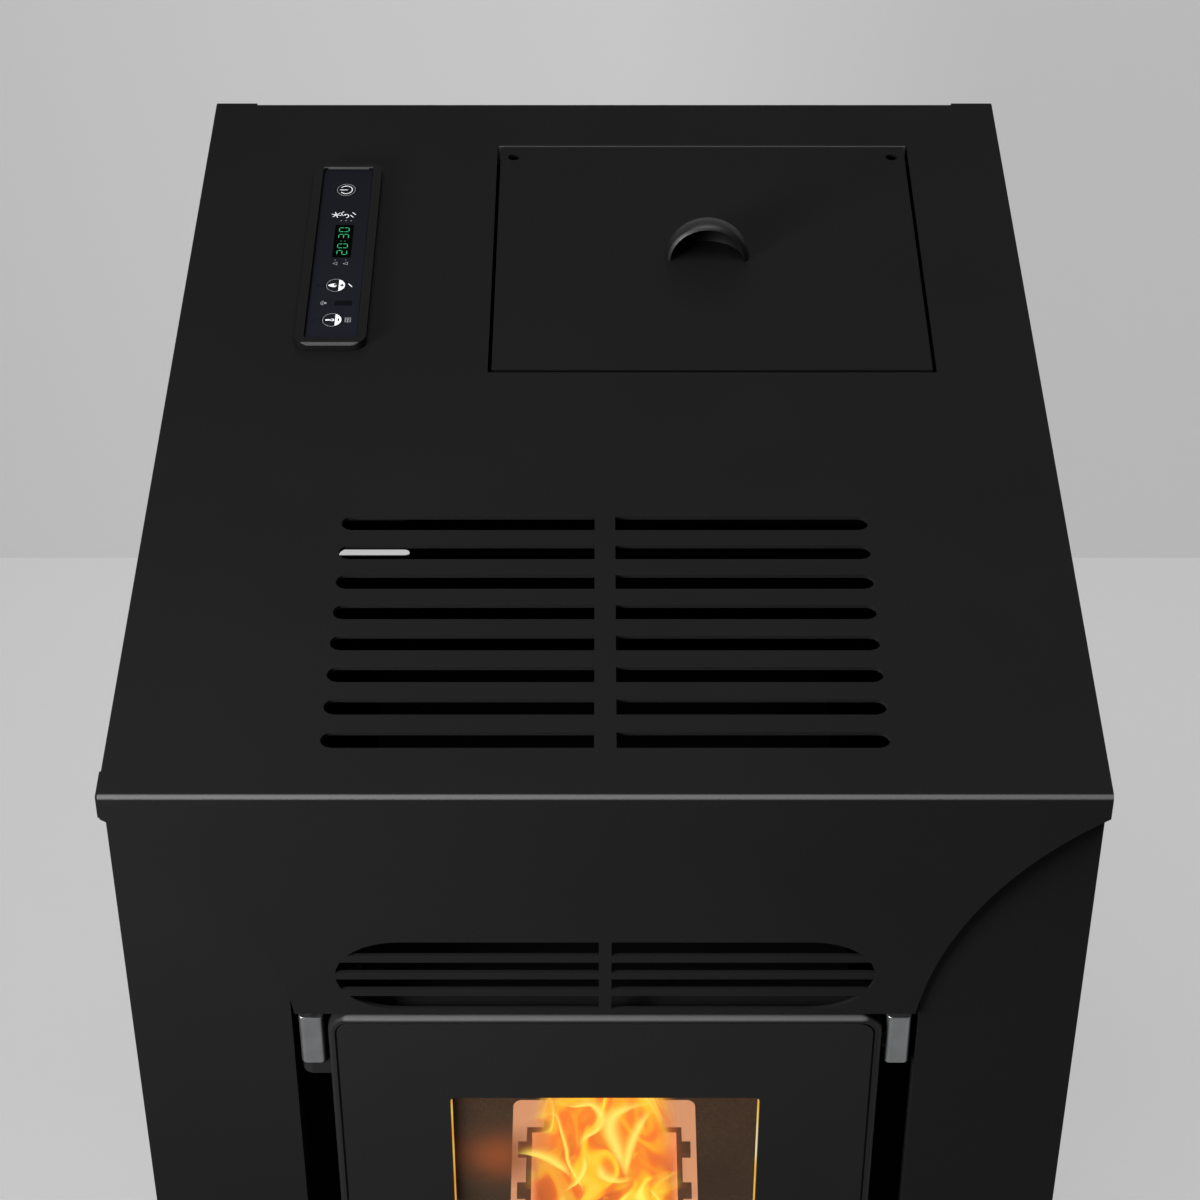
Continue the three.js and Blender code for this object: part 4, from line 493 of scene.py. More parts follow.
def ember_bed():
    """Charred pellets, glowing in patches from the grate up."""
    coal = Finish("burning_pellets")
    heat = coal.between(coal.noise(150, 3), 0.4, 0.62)
    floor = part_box("burn_pot")[0][2]
    high = coal.between(coal.axis("Z"), floor + 0.005, floor + 0.045)
    hot = heat * high
    shade = coal.mix((0.55, 0.05, 0.005), (1.0, 0.5, 0.1), hot)
    return coal.surface(
        Base_Color=(0.03, 0.016, 0.01), Roughness=0.9, Emission_Color=coal.mix((0, 0, 0), shade, hot),
        Emission_Strength=2.2, Normal=coal.bump(heat, 0.5, 0.0004))


def flame_curtain(name, colours, seed, strength):
    """Burning gas on a standing sheet, by its own UV map: torn clouds with bright curling threads."""
    fire = Finish(name)
    chart = fire.node("ShaderNodeUVMap")
    across, along = fire.axis("X", chart), fire.axis("Y", chart)
    bend = fire.noise(2.3, 1, fire.moved(chart, seed))
    slow = fire.node("ShaderNodeCombineXYZ", sockets={
        0: across * 2.2 + (bend - 0.5) * 2.6 + seed, 1: along * 1.9 - bend * 1.4, 2: seed * 0.37})
    cloud = fire.noise(1.6, 2, slow, 0.45, 0.5)
    curl = fire.noise(1.15, 1, slow, 0.4, 1.1)
    thread = fire.between(abs(curl - 0.5), 0.05, 0.0) * fire.between(cloud, 0.36, 0.6)
    sides = fire.between(abs(across * 2 - 1) + (cloud - 0.5) * 0.5, 1.0, 0.55)
    ends = fire.between(along, 0.0, 0.05) * fire.between(along + (cloud - 0.5) * 0.7, 1.02, 0.62)
    body = fire.between(cloud, 0.3, 0.62)
    heat = body * 0.68 + thread * 0.3 - along * 0.16
    shade = fire.node("ShaderNodeValToRGB", {"stops": [
        (0.0, tint(colours.flame_low, 0.75)), (0.3, colours.flame_low), (0.55, colours.flame_high),
        (0.85, (1.0, 0.78, 0.1))]}, {0: heat})
    cover = (body * 1.1 + thread * 0.3 + 0.25) * sides * ends
    return fire.surface(
        Base_Color=(0, 0, 0), Roughness=1.0, Specular_IOR_Level=0.0, Emission_Color=shade,
        Emission_Strength=strength, Alpha=cover)


def flame_glow(colours):
    """A soft ball of glowing gas, by its own UV map."""
    fire = Finish("flame_glow")
    chart = fire.node("ShaderNodeUVMap")
    across, along = fire.axis("X", chart) * 2 - 1, fire.axis("Y", chart) * 2 - 1
    reach = (across * across + along * along) ** 0.5
    wisp = fire.noise(3, 2, chart)
    cover = fire.between(reach + (wisp - 0.5) * 0.3, 0.95, 0.0)
    shade = fire.mix(tint(colours.flame_low, 0.6), colours.flame_low, cover)
    return fire.surface(
        Base_Color=(0, 0, 0), Roughness=1.0, Specular_IOR_Level=0.0, Emission_Color=shade, Emission_Strength=0.4,
        Alpha=cover * 0.85)


def flame_tongue(colours):
    """One thread of flame on its own UV map: pale and thin, fading to both ends."""
    fire = Finish("flame_tongue")
    chart = fire.node("ShaderNodeUVMap")
    across, along = abs(fire.axis("X", chart) * 2 - 1), fire.axis("Y", chart)
    ends = fire.between(along, 0.0, 0.3) * fire.between(along, 1.0, 0.7)
    rim = fire.between(across, 1.0, 0.0)
    shade = fire.mix(colours.flame_high, (1.0, 0.78, 0.13), rim)
    return fire.surface(
        Base_Color=(0, 0, 0), Roughness=1.0, Specular_IOR_Level=0.0, Emission_Color=shade, Emission_Strength=1.7,
        Alpha=rim * ends * 0.85)


def lit_glass_edge():
    """The polished edge of the glass, lit from behind by the fire."""
    edge = Finish("lit_glass_edge")
    along = edge.noise(24, 2)
    shade = edge.node("ShaderNodeValToRGB", {"stops": [
        (0.3, (1.0, 0.28, 0.01)), (0.5, (1.0, 0.6, 0.06)), (0.68, (1.0, 0.9, 0.55))]}, {0: along})
    return edge.surface(Base_Color=(0.02, 0.01, 0), Emission_Color=shade, Emission_Strength=0.75, Roughness=0.3)


# ---- Pieces ----

def finish_piece(name, bm, finish, body, replaces=(), smooth=35):
    """Turns a bmesh into a finished piece that rides on a body."""
    mesh = bpy.data.meshes.new(name)
    bm.to_mesh(mesh)
    bm.free()
    mesh.shade_smooth()
    mesh.set_sharp_from_angle(angle=math.radians(smooth))
    piece = bpy.data.objects.new(name, mesh)
    bpy.context.scene.collection.objects.link(piece)
    mesh.materials.append(finishes[finish])
    flat = piece.modifiers.new("flat_faces", "WEIGHTED_NORMAL")
    flat.keep_sharp = True
    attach(piece, body)
    if replaces:
        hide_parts(*replaces)
    return piece


def softened(node, finish, body, width, segments=2, corner=28):
    """A node's own shape with its hard edges rounded, as pressed, cast and moulded edges are."""
    bm = bmesh.new()
    bm.from_mesh(nodes[node].data)
    bmesh.ops.remove_doubles(bm, verts=bm.verts, dist=2e-5)
    bmesh.ops.dissolve_limit(bm, angle_limit=math.radians(0.5), verts=bm.verts, edges=bm.edges)
    hard = [edge for edge in bm.edges if edge.is_manifold and edge.calc_face_angle() > math.radians(corner)]
    bmesh.ops.bevel(
        bm, geom=hard, offset=width, offset_type="OFFSET", affect="EDGES", segments=segments, profile=0.5,
        material=-1, clamp_overlap=True)
    return finish_piece(node + "_skin", bm, finish, body, (node,))


def keep_node(node, finish):
    """A node whose shape is right keeps its mesh and gets its finish."""
    mesh = nodes[node].data
    mesh.materials.clear()
    mesh.materials.append(finishes[finish])


def placed(x=0, y=0, z=0, turn=0, axis="Z"):
    return Matrix.Translation((x, y, z)) @ Matrix.Rotation(turn, 4, axis)


# Printed marks lie on the panel. Seen by their reader, right is +Y and up is -X.

MARK = 0.00004  # thickness of the ink


def bar(bm, right, up, size_right, size_up, turn=0, corners=4):
    """A flat rectangle, or with six corners a segment of a digit. The turn is in degrees."""
    made = bmesh.ops.create_circle(bm, cap_ends=True, radius=1, segments=corners)["verts"]
    if corners == 4:
        bmesh.ops.rotate(bm, verts=made, matrix=Matrix.Rotation(math.pi / 4, 3, "Z"))
        bmesh.ops.scale(bm, verts=made, vec=(math.sqrt(2), math.sqrt(2), 1))
    bmesh.ops.scale(bm, verts=made, vec=(size_right / 2, size_up / 2, 1))
    bmesh.ops.rotate(bm, verts=made, matrix=Matrix.Rotation(math.radians(turn), 3, "Z"))
    bmesh.ops.translate(bm, verts=made, vec=(right, up, 0))


def ring(bm, right, up, radius, line, start=0, end=360, segments=48):
    """A flat ring, or a part of one between two angles."""
    made = bmesh.ops.create_grid(bm, x_segments=segments, y_segments=1, size=0.5)["verts"]
    for vert in made:
        angle = math.radians(start + (end - start) * (vert.co.x + 0.5))
        reach = radius + line * vert.co.y
        vert.co = (right + reach * math.cos(angle), up + reach * math.sin(angle), 0)
    if end - start == 360:
        bmesh.ops.remove_doubles(bm, verts=made, dist=1e-7)


def disc(bm, right, up, radius, squash=1, segments=32):
    """A flat disc, or an upright oval."""
    made = bmesh.ops.create_circle(bm, cap_ends=True, radius=radius, segments=segments)["verts"]
    bmesh.ops.scale(bm, verts=made, vec=(1, squash, 1))
    bmesh.ops.translate(bm, verts=made, vec=(right, up, 0))
    return made


def disc_part(bm, radius, cut):
    """The part of a disc below a line."""
    disc(bm, 0, 0, radius, 1, 64)
    parts = list(bm.verts) + list(bm.edges) + list(bm.faces)
    bmesh.ops.bisect_plane(bm, geom=parts, plane_co=(0, cut, 0), plane_no=(0, 1, 0), clear_outer=True)


def drop(bm, up, radius, tip):
    """A disc that is drawn out to a narrow tip."""
    for vert in disc(bm, 0, up, radius):
        if vert.co.y > up:
            share = (vert.co.y - up) / radius
            vert.co.y += share * tip
            vert.co.x *= 1 - 0.45 * share


def triangle(bm, radius, line):
    """The outline of a triangle."""
    for reach in (radius, radius - line):
        bmesh.ops.create_circle(bm, radius=reach, segments=3)
    bmesh.ops.bridge_loops(bm, edges=bm.edges)


def print_marks(name, finish, centre, body, shapes, lift=1):
    """Lays flat shapes on the panel at a centre (x, y) and gives them the thickness of the ink."""
    bm = bmesh.new()
    for shape, *values in shapes:
        shape(bm, *values)
    if body != "cabinet":
        bmesh.ops.scale(bm, verts=bm.verts, vec=(1.04, 0.9, 1))  # the keys' marks are a little oval
    grown = bmesh.ops.extrude_face_region(bm, geom=list(bm.faces))["geom"]
    verts = [part for part in grown if isinstance(part, bmesh.types.BMVert)]
    bmesh.ops.translate(bm, verts=verts, vec=(0, 0, MARK))
    bmesh.ops.recalc_face_normals(bm, faces=bm.faces)
    place = (*centre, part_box("control_overlay")[1][2] + MARK * (lift - 0.5))
    bmesh.ops.transform(bm, verts=bm.verts, matrix=placed(*place, math.pi / 2))
    finish_piece(name, bm, finish, body)


# ---- Operators ----

class StovePiece(bpy.types.Operator):
    """Shared by the operators below: the user's sizes and colours."""

    bl_idname = "stove.piece"
    bl_label = "Stove piece"

    @property
    def sizes(self):
        return bpy.context.scene.stove_sizes

    @property
    def colours(self):
        return bpy.context.scene.stove_colours


class STOVE_OT_finishes(StovePiece):
    """Make the finishes and give every node of the frame its own"""

    bl_idname = "stove.finishes"
    bl_label = "Finishes"

    worn = {
        "folded": ("top_cover",),
        "cover": ("back_panel", "lower_front_panel", "hopper_lid", "drawer_front"),
        "door": ("door_frame",),
        "sides": ("side_panel_left", "side_panel_right", "base_tray"),
        "inside": (
            "front_frame", "heat_exchanger", "smoke_box", "ash_chamber", "exhaust_housing",
            "baffle_plate", "hopper", "hopper_guard", "lid_hinge_rod"),
        "dark_iron": (
            "door_handle", "hinge_pin_upper", "hinge_pin_lower", "auger_gearmotor", "blower_motor", "exhaust_motor",
            "exhaust_impeller"),
        "zinc_painted_shade": (
            "glass_retainer", "blower_housing", "blower_impeller", "auger_tube", "auger_screw", "drop_chute"),
        "zinc": ("hinge_block_upper", "hinge_block_lower", "catch_block", "ash_drawer"),
        "steel": ("catch_plunger", "igniter"),
        "spigot": ("flue_spigot", "air_intake_pipe"),
        "board": ("lining_back", "lining_left", "lining_right"),
        "pot": ("burn_pot",),
        "firebox": ("firebox_shell",),
        "seat": ("burn_pot_cradle",),
        "glass": ("door_glass",),
        "rope": ("door_gasket",),
        "bezel": ("control_bezel",),
        "plastic": ("mains_inlet", "mains_rocker"),
        "gloss": ("lid_pull",),
        "panel": ("control_overlay", "key_power", "key_up", "key_down"),
        "rubber": ("foot_front_left", "foot_front_right", "foot_rear_left", "foot_rear_right"),
        "circuit": ("control_board",),
    }

    def execute(self, context):
        make_finishes(self.colours)
        bare = set(nodes)
        for finish, names in self.worn.items():
            for name in names:
                keep_node(name, finish)
                bare.discard(name)
        if bare:
            raise RuntimeError("no finish for " + ", ".join(sorted(bare)))
        return {"FINISHED"}


class STOVE_OT_cabinet(StovePiece):
    """Round the bent and cut edges of the cover, the sides, the back, the lower front and the feet"""

    bl_idname = "stove.cabinet"
    bl_label = "Cabinet"

    def execute(self, context):
        edge = self.sizes.edge
        softened("top_cover", "folded", "cabinet", edge)
        for node in ("lower_front_panel", "back_panel"):
            softened(node, "cover", "cabinet", edge)
        for node in ("side_panel_left", "side_panel_right"):
            softened(node, "sides", "cabinet", edge)
        for node in ("foot_front_left", "foot_front_right", "foot_rear_left", "foot_rear_right"):
            softened(node, "rubber", "cabinet", self.sizes.soft_edge)
        return {"FINISHED"}


class STOVE_OT_lid(StovePiece):
    """The hopper's lid with its moulded finger pull"""

    bl_idname = "stove.lid"
    bl_label = "Hopper lid"

    def pull_profile(self):
        """Half of the pull's wall, from its back over the rounded lip to its inside."""
        radius, wall, lip = self.sizes.pull_radius, self.sizes.pull_wall, self.sizes.pull_lip
        points = []
        for step in range(41):
            along = radius * math.sin(math.radians(90 * (1 - step / 40)))
            across = math.sqrt(radius ** 2 - along ** 2)
            if along < lip:
                across -= wall * (1 - math.sqrt(1 - (1 - along / lip) ** 2))
            points.append((across, along, 0))
        inner = radius - wall
        for step in range(1, 25):
            angle = math.radians(90 * step / 24)
            points.append((inner * math.cos(angle), inner * math.sin(angle), 0))
        return points

    def execute(self, context):
        softened("hopper_lid", "cover", "lid", self.sizes.edge)
        low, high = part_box("lid_pull")
        bm = bmesh.new()
        profile = [bm.verts.new(point) for point in self.pull_profile()]
        path = [bm.edges.new(pair) for pair in zip(profile, profile[1:])]
        bmesh.ops.spin(
            bm, geom=profile + path, cent=(0, 0, 0), axis=(0, 1, 0), angle=-math.pi, steps=72, use_merge=False)
        bmesh.ops.remove_doubles(bm, verts=bm.verts, dist=1e-6)
        bmesh.ops.holes_fill(bm, edges=bm.edges, sides=0)
        bmesh.ops.recalc_face_normals(bm, faces=bm.faces)
        bmesh.ops.transform(bm, verts=bm.verts, matrix=placed((low[0] + high[0]) / 2, low[1], low[2]))
        finish_piece("finger_pull", bm, "gloss", "lid", ("lid_pull",), 50)
        return {"FINISHED"}


class STOVE_OT_control_panel(StovePiece):
    """The control panel: its frame, the film, the clock and the printed marks"""

    bl_idname = "stove.control_panel"
    bl_label = "Control panel"

    segments = {
        "0": "abcdef", "1": "bc", "2": "abged", "3": "abgcd", "4": "fgbc", "5": "afgcd", "6": "afgedc", "7": "abc",
        "8": "abcdefg", "9": "abcdfg"}
    rim = (ring, 0, 0, 0.0057, 0.00025)

    def clock(self, centre):
        """The clock's digits, each of up to seven lit bars."""
        tall, wide, line, pitch = 0.0054, 0.0039, 0.00045, 0.0066
        places = {
            "a": (0, tall / 2, 0), "g": (0, 0, 0), "d": (0, -tall / 2, 0), "f": (-wide / 2, tall / 4, 1),
            "b": (wide / 2, tall / 4, 1), "e": (-wide / 2, -tall / 4, 1), "c": (wide / 2, -tall / 4, 1)}
        text = self.sizes.display_text
        right = -pitch * (len(text.replace(":", "")) - 1) / 2 - pitch * 0.225 * text.count(":")
        lit = []
        for sign in text:
            if sign == ":":
                right -= pitch * 0.275
                lit += [(disc, right, up, line * 0.5, 1, 12) for up in (-tall / 5, tall / 5)]
                right += pitch * 0.725
                continue
            for part in self.segments[sign]:
                along, up, standing = places[part]
                reach = (tall / 2 if standing else wide) - line * 0.35
                lit.append((bar, right + along, up, reach, line, 90 * standing, 6))
            right += pitch
        print_marks("clock_digits", "digit", centre, "cabinet", lit, 2.5)

    def key_marks(self, key, centre, sign):
        """A split disc: a white part with a plus or minus, and a dark part for the key's picture."""
        print_marks(key + "_rim", "faint_marks", centre, key, [self.rim])
        print_marks(key + "_white", "marks", centre, key, [(disc_part, 0.0058, -0.0018)])
        print_marks(key + "_sign", "dark", centre, key, sign, 2.5)

    def execute(self, context):
        softened("control_bezel", "bezel", "cabinet", self.sizes.bezel_edge, 4, 40)
        low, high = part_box("control_overlay")
        middle = (low[0] + high[0]) / 2
        display = (-0.1455, 0.1481)
        print_marks("clock_window", "dark", display, "cabinet", [(bar, 0, 0, 0.0326, 0.0103)])
        self.clock(display)

        power, up, down = [
            [(a + b) / 2 for a, b in zip(*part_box(key))][:2] for key in ("key_power", "key_up", "key_down")]
        print_marks("power_ring", "faint_marks", power, "key_power", [self.rim])
        print_marks("power_sign", "marks", power, "key_power", [
            (ring, 0, 0, 0.0038, 0.0005, 125, 415), (bar, 0, 0.0016, 0.0005, 0.0050)])
        minus, upright = (bar, 0, -0.0038, 0.0024, 0.0008), (bar, 0, -0.0038, 0.0008, 0.0024)
        self.key_marks("key_up", up, [minus, upright])
        print_marks("flame_sign", "marks", up, "key_up", [(drop, 0.0012, 0.0017, 0.0018)])
        print_marks("flame_sign_core", "dark", up, "key_up", [(disc, 0.0003, 0.0005, 0.0007, 1.3, 20)], 2.5)
        print_marks("slope_sign", "marks", up, "cabinet", [(bar, 0, -0.0079, 0.0036, 0.0005, 35)])
        self.key_marks("key_down", down, [minus])
        print_marks("thermometer_sign", "marks", down, "key_down", [
            (bar, 0, 0.0018, 0.0011, 0.0044), (disc, 0, -0.0002, 0.0011, 1, 20)])
        print_marks("heater_sign", "faint_marks", down, "cabinet", [
            *[(bar, 0, -0.0085 + row, 0.0044, 0.00045) for row in (-0.0014, 0, 0.0014)],
            *[(bar, column, -0.0085, 0.0003, 0.0032) for column in (-0.0019, 0, 0.0019)]])

        row = up[1] - 0.0170
        print_marks("sensor_window", "sensor", (-0.1417, row), "cabinet", [(bar, 0, 0, 0.0046, 0.0094)])
        print_marks("sensor_sign", "faint_marks", (-0.1515, row), "cabinet", [
            (disc, 0, 0, 0.0008, 1, 16), *[(ring, 0, 0, radius, 0.0003, 30, 150, 12) for radius in (0.0016, 0.0024)]])
        row = power[1] - 0.0259
        print_marks("auger_sign", "marks", (-0.1508, row), "cabinet", [
            *[(bar, 0, 0, 0.0058, 0.0004, 60 * step + 15) for step in range(3)],
            (ring, 0, 0, 0.0011, 0.0003, 0, 360, 16)])
        print_marks("fan_sign", "marks", (-0.1459, row), "cabinet", [
            (ring, 0.0012, 0, 0.0021, 0.0004, 20, 160, 12), (ring, -0.0012, 0.0001, 0.0021, 0.0004, 200, 340, 12),
            (disc, 0, 0, 0.0006, 1, 12)])
        print_marks("igniter_sign", "marks", (-0.1415, row), "cabinet", [
            (bar, side * -0.0013, side * 0.0006, 0.0004, 0.0030, -50) for side in (1, -1)])
        print_marks("status_dots", "faint_marks", (middle, row), "cabinet", [
            (disc, -0.0059, middle - column, 0.00035, 1, 12) for column in (-0.1478, -0.1451, -0.1422)])
        row = up[1] + 0.0212
        for name, column in (("rise_sign", -0.1483), ("wave_sign", -0.1425)):
            print_marks(name, "faint_marks", (column, row), "cabinet", [
                (triangle, 0.0018, 0.0005), (disc, 0.0034, 0.0004, 0.0003, 1, 12)])
        print_marks("key_lamps", "dark", (-0.1565, power[1]), "cabinet", [
            (disc, key[1] - power[1], 0, 0.0005, 1, 12) for key in (power, up, down)])
        return {"FINISHED"}


class STOVE_OT_door(StovePiece):
    """The fire door with its handle and the lit edges of its glass"""

    bl_idname = "stove.door"
    bl_label = "Fire door"

    def execute(self, context):
        softened("door_frame", "door", "door", self.sizes.edge)
        softened("door_handle", "dark_iron", "door", self.sizes.soft_edge)
        low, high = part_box("door_glass")
        margin, line, corner = self.sizes.window_margin, 0.0009, 0.004
        tall = high[2] - low[2] - 2 * (margin + corner)
        for name, side in (("lit_edge_left", -1), ("lit_edge_right", 1)):
            bm = bmesh.new()
            strip = bmesh.ops.create_grid(bm, x_segments=1, y_segments=24, size=0.5)["verts"]
            bmesh.ops.rotate(bm, verts=strip, matrix=Matrix.Rotation(math.pi / 2, 3, "X"))
            bmesh.ops.scale(bm, verts=strip, vec=(line, 1, tall))
            place = (side * (high[0] - margin - 0.0005), low[1] - 0.00025, (low[2] + high[2]) / 2)
            bmesh.ops.translate(bm, verts=strip, vec=place)
            finish_piece(name, bm, "glass_edge", "door")
        return {"FINISHED"}


class STOVE_OT_fixings(StovePiece):
    """The hinge blocks, their pins and the catch"""

    bl_idname = "stove.fixings"
    bl_label = "Hinges and catch"

    def execute(self, context):
        for node in ("hinge_block_upper", "hinge_block_lower", "catch_block"):
            softened(node, "zinc", "cabinet", self.sizes.edge)
        for node in ("hinge_pin_upper", "hinge_pin_lower"):
            softened(node, "dark_iron", "cabinet", self.sizes.edge)
        return {"FINISHED"}


class STOVE_OT_fire(StovePiece):
    """The burn pot on its seat, the glowing pellets and the flames"""

    bl_idname = "stove.fire"
    bl_label = "Fire"

    # Threads of flame: width, depth (y) and the points (x, z) that each one follows.
    threads = (
        (0.0018, -0.190, ((-0.035, 0.560), (-0.027, 0.563), (-0.0235, 0.548), (-0.021, 0.534), (-0.020, 0.523),
                          (-0.016, 0.511), (-0.0125, 0.502), (-0.012, 0.490))),
        (0.0044, -0.186, ((-0.0265, 0.569), (-0.0175, 0.565), (-0.007, 0.566), (-0.0015, 0.556), (-0.004, 0.546),
                          (-0.012, 0.537), (-0.0145, 0.527))),
        (0.0075, -0.188, ((0.0285, 0.570), (0.015, 0.567), (0.0055, 0.560), (0.003, 0.5485), (0.006, 0.535),
                          (0.011, 0.517), (0.0135, 0.500))),
        (0.0046, -0.191, ((0.0275, 0.572), (0.0205, 0.558), (0.015, 0.541), (0.0125, 0.5245), (0.012, 0.511))),
        (0.0030, -0.192, ((-0.012, 0.534), (-0.011, 0.5215), (-0.015, 0.509), (-0.0235, 0.500))),
        (0.0058, -0.187, ((-0.050, 0.5275), (-0.0405, 0.527), (-0.0315, 0.523), (-0.0235, 0.515), (-0.017, 0.505))),
        (0.0015, -0.193, ((0.024, 0.506), (0.029, 0.497), (0.034, 0.488))),
        (0.0060, -0.189, ((-0.0025, 0.524), (-0.0015, 0.512), (0.004, 0.507), (0.0125, 0.505))))

    def pellets(self, low, high):
        """Short rods of pressed wood, thrown into the pot."""
        rng = random.Random(7)
        bm = bmesh.new()
        radius = self.sizes.pellet_radius
        for _ in range(self.sizes.pellet_count):
            reach = rng.uniform(3, 5) * radius
            turn = Matrix.Rotation(rng.uniform(0, math.pi), 4, "Z")
            turn = turn @ Matrix.Rotation(rng.uniform(1.1, 1.57), 4, "X")
            place = Matrix.Translation((
                rng.uniform(low[0] + reach, high[0] - reach), rng.uniform(low[1] + reach, high[1] - reach),
                rng.uniform(low[2], high[2])))
            bmesh.ops.create_cone(
                bm, cap_ends=True, segments=10, radius1=radius, radius2=radius, depth=2 * reach * 0.8,
                matrix=place @ turn)
        finish_piece("glowing_pellets", bm, "ember", "burn_pot")

    def curtain(self, name, y, half, foot, top, bow):
        """A standing sheet of flame, bowed towards the glass or away from it."""
        bm = bmesh.new()
        bm.loops.layers.uv.new("chart")
        verts = bmesh.ops.create_grid(bm, x_segments=24, y_segments=32, size=1, calc_uvs=True)["verts"]
        for vert in verts:
            across, up = vert.co.x, (vert.co.y + 1) / 2
            narrow = 1.05 - 0.25 * up
            vert.co = (across * half * narrow, y + bow * (1 - across ** 2 + up), foot + (top - foot) * up)
        finish_piece(name, bm, name, "burn_pot")

    def tongue(self, name, path, width, bend):
        """A thread of flame: a narrow sheet that follows a path and tapers to both ends."""
        bm = bmesh.new()
        bm.loops.layers.uv.new("chart")
        verts = bmesh.ops.create_grid(bm, x_segments=6, y_segments=48, size=1, calc_uvs=True)["verts"]
        points = [Vector(point) for point in path]
        for vert in verts:
            across, along = vert.co.x, (vert.co.y + 1) / 2
            here = curve_point(points, along)
            course = curve_point(points, min(1, along + 0.01)) - curve_point(points, max(0, along - 0.01))
            side = course.normalized().cross(Vector((0, 1, 0))).normalized()
            spread = width * (0.15 + math.sin(math.pi * along))
            vert.co = here + side * across * spread + Vector((0, bend * (across * across - 0.5), 0))
        finish_piece(name, bm, "flame_tongue", "burn_pot")

    def execute(self, context):
        softened("burn_pot_cradle", "seat", "cabinet", self.sizes.seat_edge, 3)
        softened("burn_pot", "pot", "burn_pot", self.sizes.pot_edge)
        low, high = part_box("burn_pot")
        middle = (low[1] + high[1]) / 2
        bowl = 0.036  # half of the space inside the pot
        self.pellets((-bowl, middle - bowl, low[2] + 0.012), (bowl, middle + bowl, low[2] + 0.028))
        foot, top = high[2] - 0.04, high[2] + self.sizes.flame_height
        for name, y, half, bow in (
                ("flame_back", 0.022, 0.044, 0.006), ("flame_middle", 0.002, 0.048, -0.006),
                ("flame_front", -0.018, 0.043, 0.005)):
            self.curtain(name, middle + y, half, foot, top, bow)
        for count, (width, y, path) in enumerate(self.threads):
            self.tongue(f"flame_thread_{count}", [(x, y, z) for x, z in path], width, 0.004)
        bm = bmesh.new()
        bm.loops.layers.uv.new("chart")
        bmesh.ops.create_grid(
            bm, x_segments=8, y_segments=8, size=0.036, calc_uvs=True,
            matrix=placed(-0.058, middle + 0.004, 0.498, math.pi / 2, "X"))
        finish_piece("flame_glow", bm, "flame_glow", "burn_pot")
        return {"FINISHED"}


def curve_point(points, share):
    """A point of a smooth curve through the given points."""
    count = len(points) - 1
    place = min(share * count, count - 1e-6)
    first = int(place)
    rest = place - first
    p1, p2 = points[first], points[first + 1]
    p0 = points[first - 1] if first else p1 * 2 - p2
    p3 = points[first + 2] if first + 2 <= count else p2 * 2 - p1
    a = p1 * 2
    b = (p2 - p0) * rest
    c = (p0 * 2 - p1 * 5 + p2 * 4 - p3) * rest ** 2
    d = (p1 * 3 - p0 - p2 * 3 + p3) * rest ** 3
    return (a + b + c + d) * 0.5


class STOVE_OT_drawer(StovePiece):
    """The ash drawer's front"""

    bl_idname = "stove.drawer"
    bl_label = "Ash drawer"

    def execute(self, context):
        softened("drawer_front", "cover", "ash_drawer", self.sizes.edge)
        return {"FINISHED"}


class STOVE_OT_rear(StovePiece):
    """The flue spigot and the mains inlet with its rocker"""

    bl_idname = "stove.rear"
    bl_label = "Rear fittings"

    def execute(self, context):
        softened("flue_spigot", "spigot", "cabinet", self.sizes.edge)
        softened("mains_inlet", "plastic", "cabinet", self.sizes.edge)
        softened("mains_rocker", "plastic", "rocker", self.sizes.edge)
        return {"FINISHED"}


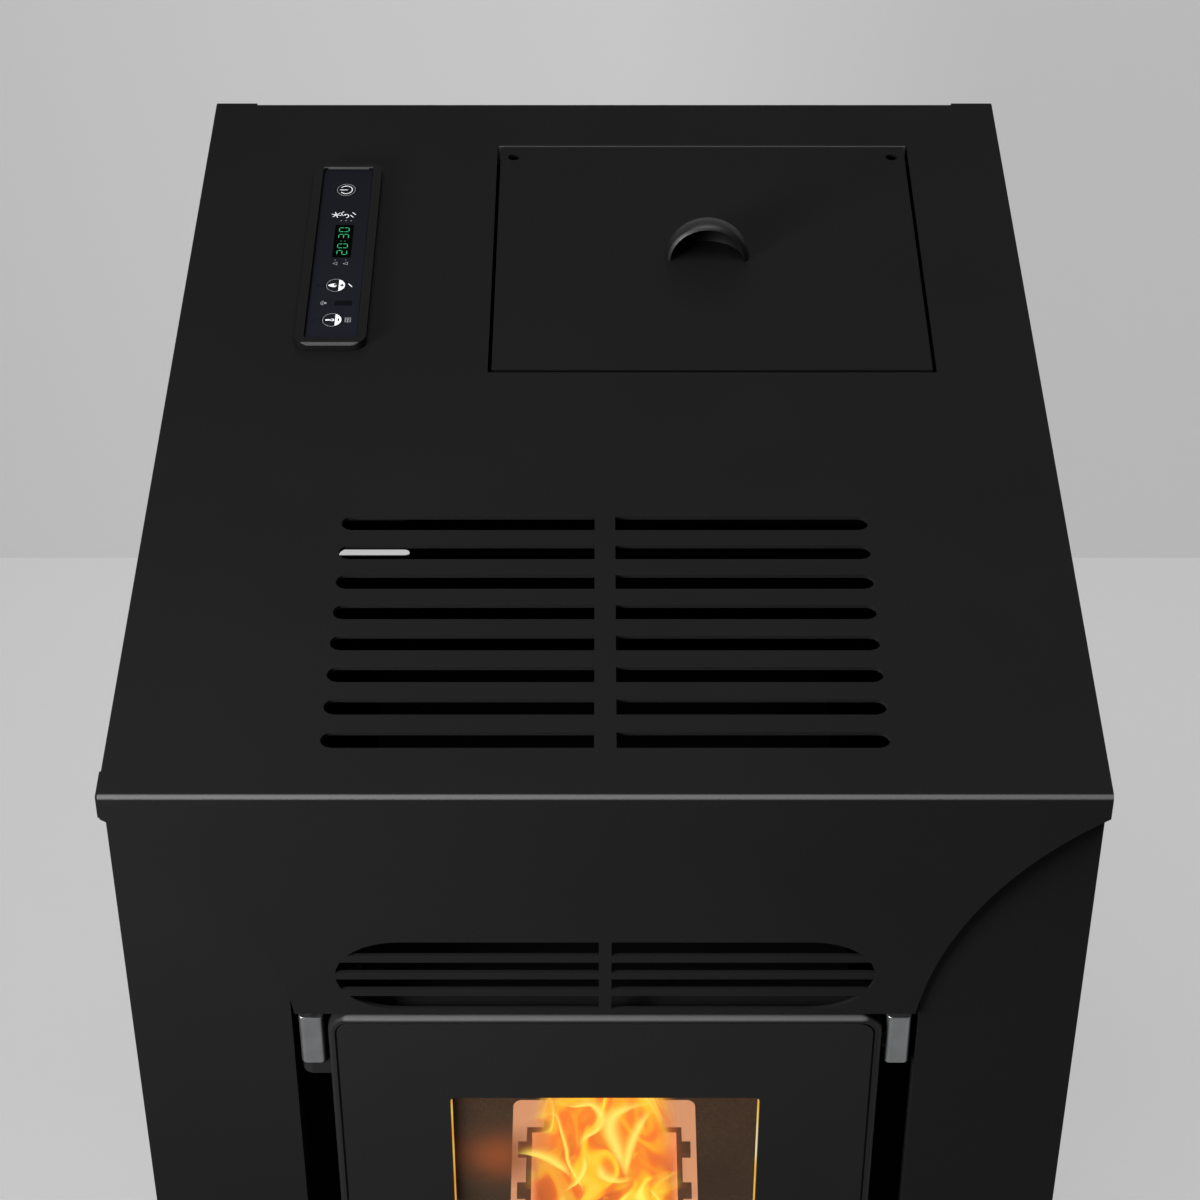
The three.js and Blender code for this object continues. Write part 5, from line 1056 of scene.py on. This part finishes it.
class STOVE_OT_stage(StovePiece):
    """The pale room, the soft lights and the camera"""

    bl_idname = "stove.stage"
    bl_label = "Stage"

    def lamp(self, name, place, target, size, power, spread=180):
        data = bpy.data.lights.new(name, "AREA")
        data.shape = "RECTANGLE"
        data.size, data.size_y = size
        data.energy = power
        data.spread = math.radians(spread)
        lamp = bpy.data.objects.new(name, data)
        bpy.context.scene.collection.objects.link(lamp)
        lamp.location = place
        lamp.visible_camera = False
        lamp.rotation_euler = (Vector(target) - Vector(place)).to_track_quat("-Z", "Y").to_euler()

    def execute(self, context):
        scene = bpy.context.scene
        wall = Finish("room_paint")
        shade = wall.mix(grey(0.52), grey(0.55), wall.noise(0.6, 1))
        wall.surface(Base_Color=shade, Roughness=0.9, Specular_IOR_Level=0.1)
        wall.backdrop(grey(0.61), 0.6)
        bm = bmesh.new()
        floor = bmesh.ops.create_grid(bm, x_segments=1, y_segments=1, size=ROOM)["verts"]
        back = [edge for edge in bm.edges if all(vert.co.y > 0 for vert in edge.verts)]
        bmesh.ops.translate(bm, verts=[vert for vert in floor if vert.co.y > 0], vec=(0, WALL_Y - ROOM, 0))
        up = bmesh.ops.extrude_edge_only(bm, edges=back)["geom"]
        bmesh.ops.translate(bm, verts=[v for v in up if isinstance(v, bmesh.types.BMVert)], vec=(0, 0, 5))
        bmesh.ops.recalc_face_normals(bm, faces=bm.faces)
        bmesh.ops.reverse_faces(bm, faces=bm.faces)
        mesh = bpy.data.meshes.new("room")
        bm.to_mesh(mesh)
        bm.free()
        mesh.materials.append(wall.material)
        room = bpy.data.objects.new("room", mesh)
        scene.collection.objects.link(room)

        self.lamp("key_light", (-0.9, -0.9, 1.2), (0, -0.3, 0.8), (0.5, 0.4), 12, 90)
        self.lamp("top_light", (0, -0.6, 3.6), (0, 0.2, 0), (2.4, 1.6), 110)
        self.lamp("right_fill", (1.6, -0.1, 0.4), (0.23, 0.0, 0.6), (0.4, 0.4), 8, 30)
        self.lamp("left_fill", (-1.6, 0.1, 0.4), (-0.23, 0.0, 0.6), (0.4, 0.4), 5, 30)
        self.lamp("rear_fill", (-0.5, 0.93, 0.5), (0, 0.34, 0.5), (0.3, 0.1), 3, 60)
        world = bpy.data.worlds.new("studio")
        world.use_nodes = True
        sky = world.node_tree.nodes["Background"].inputs
        sky["Color"].default_value = (1, 1, 1, 1)
        sky["Strength"].default_value = 0.06
        scene.world = world
        scene.view_settings.view_transform = "Standard"

        data = bpy.data.cameras.new("camera")
        data.lens = LENS
        data.sensor_width = 36
        data.clip_start = 0.05
        camera = bpy.data.objects.new("camera", data)
        scene.collection.objects.link(camera)
        camera.location = CAMERA_PLACE
        camera.rotation_euler = (math.radians(CAMERA_TILT), 0, 0)
        scene.camera = camera
        return {"FINISHED"}


class STOVE_PT_panel(bpy.types.Panel):
    """The stove's sizes, colours and pieces in the sidebar"""

    bl_idname = "STOVE_PT_panel"
    bl_label = "Pellet stove"
    bl_space_type = "VIEW_3D"
    bl_region_type = "UI"
    bl_category = "Stove"

    def draw(self, context):
        for group in (context.scene.stove_sizes, context.scene.stove_colours):
            box = self.layout.box()
            for name in group.__annotations__:
                box.prop(group, name)
        for piece in steps:
            self.layout.operator(piece.bl_idname)


steps = (
    STOVE_OT_stage, STOVE_OT_finishes, STOVE_OT_cabinet, STOVE_OT_lid, STOVE_OT_control_panel, STOVE_OT_door,
    STOVE_OT_fixings, STOVE_OT_fire, STOVE_OT_drawer, STOVE_OT_rear)
classes = (StoveSizes, StoveColours, *steps, STOVE_PT_panel)


def register():
    for item in classes:
        bpy.utils.register_class(item)
    bpy.types.Scene.stove_sizes = PointerProperty(type=StoveSizes)
    bpy.types.Scene.stove_colours = PointerProperty(type=StoveColours)


def unregister():
    del bpy.types.Scene.stove_sizes
    del bpy.types.Scene.stove_colours
    for item in reversed(classes):
        bpy.utils.unregister_class(item)


def main():
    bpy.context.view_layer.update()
    register()
    for piece in steps:
        group, name = piece.bl_idname.split(".")
        getattr(getattr(bpy.ops, group), name)()


if __name__ == "__main__":
    main()
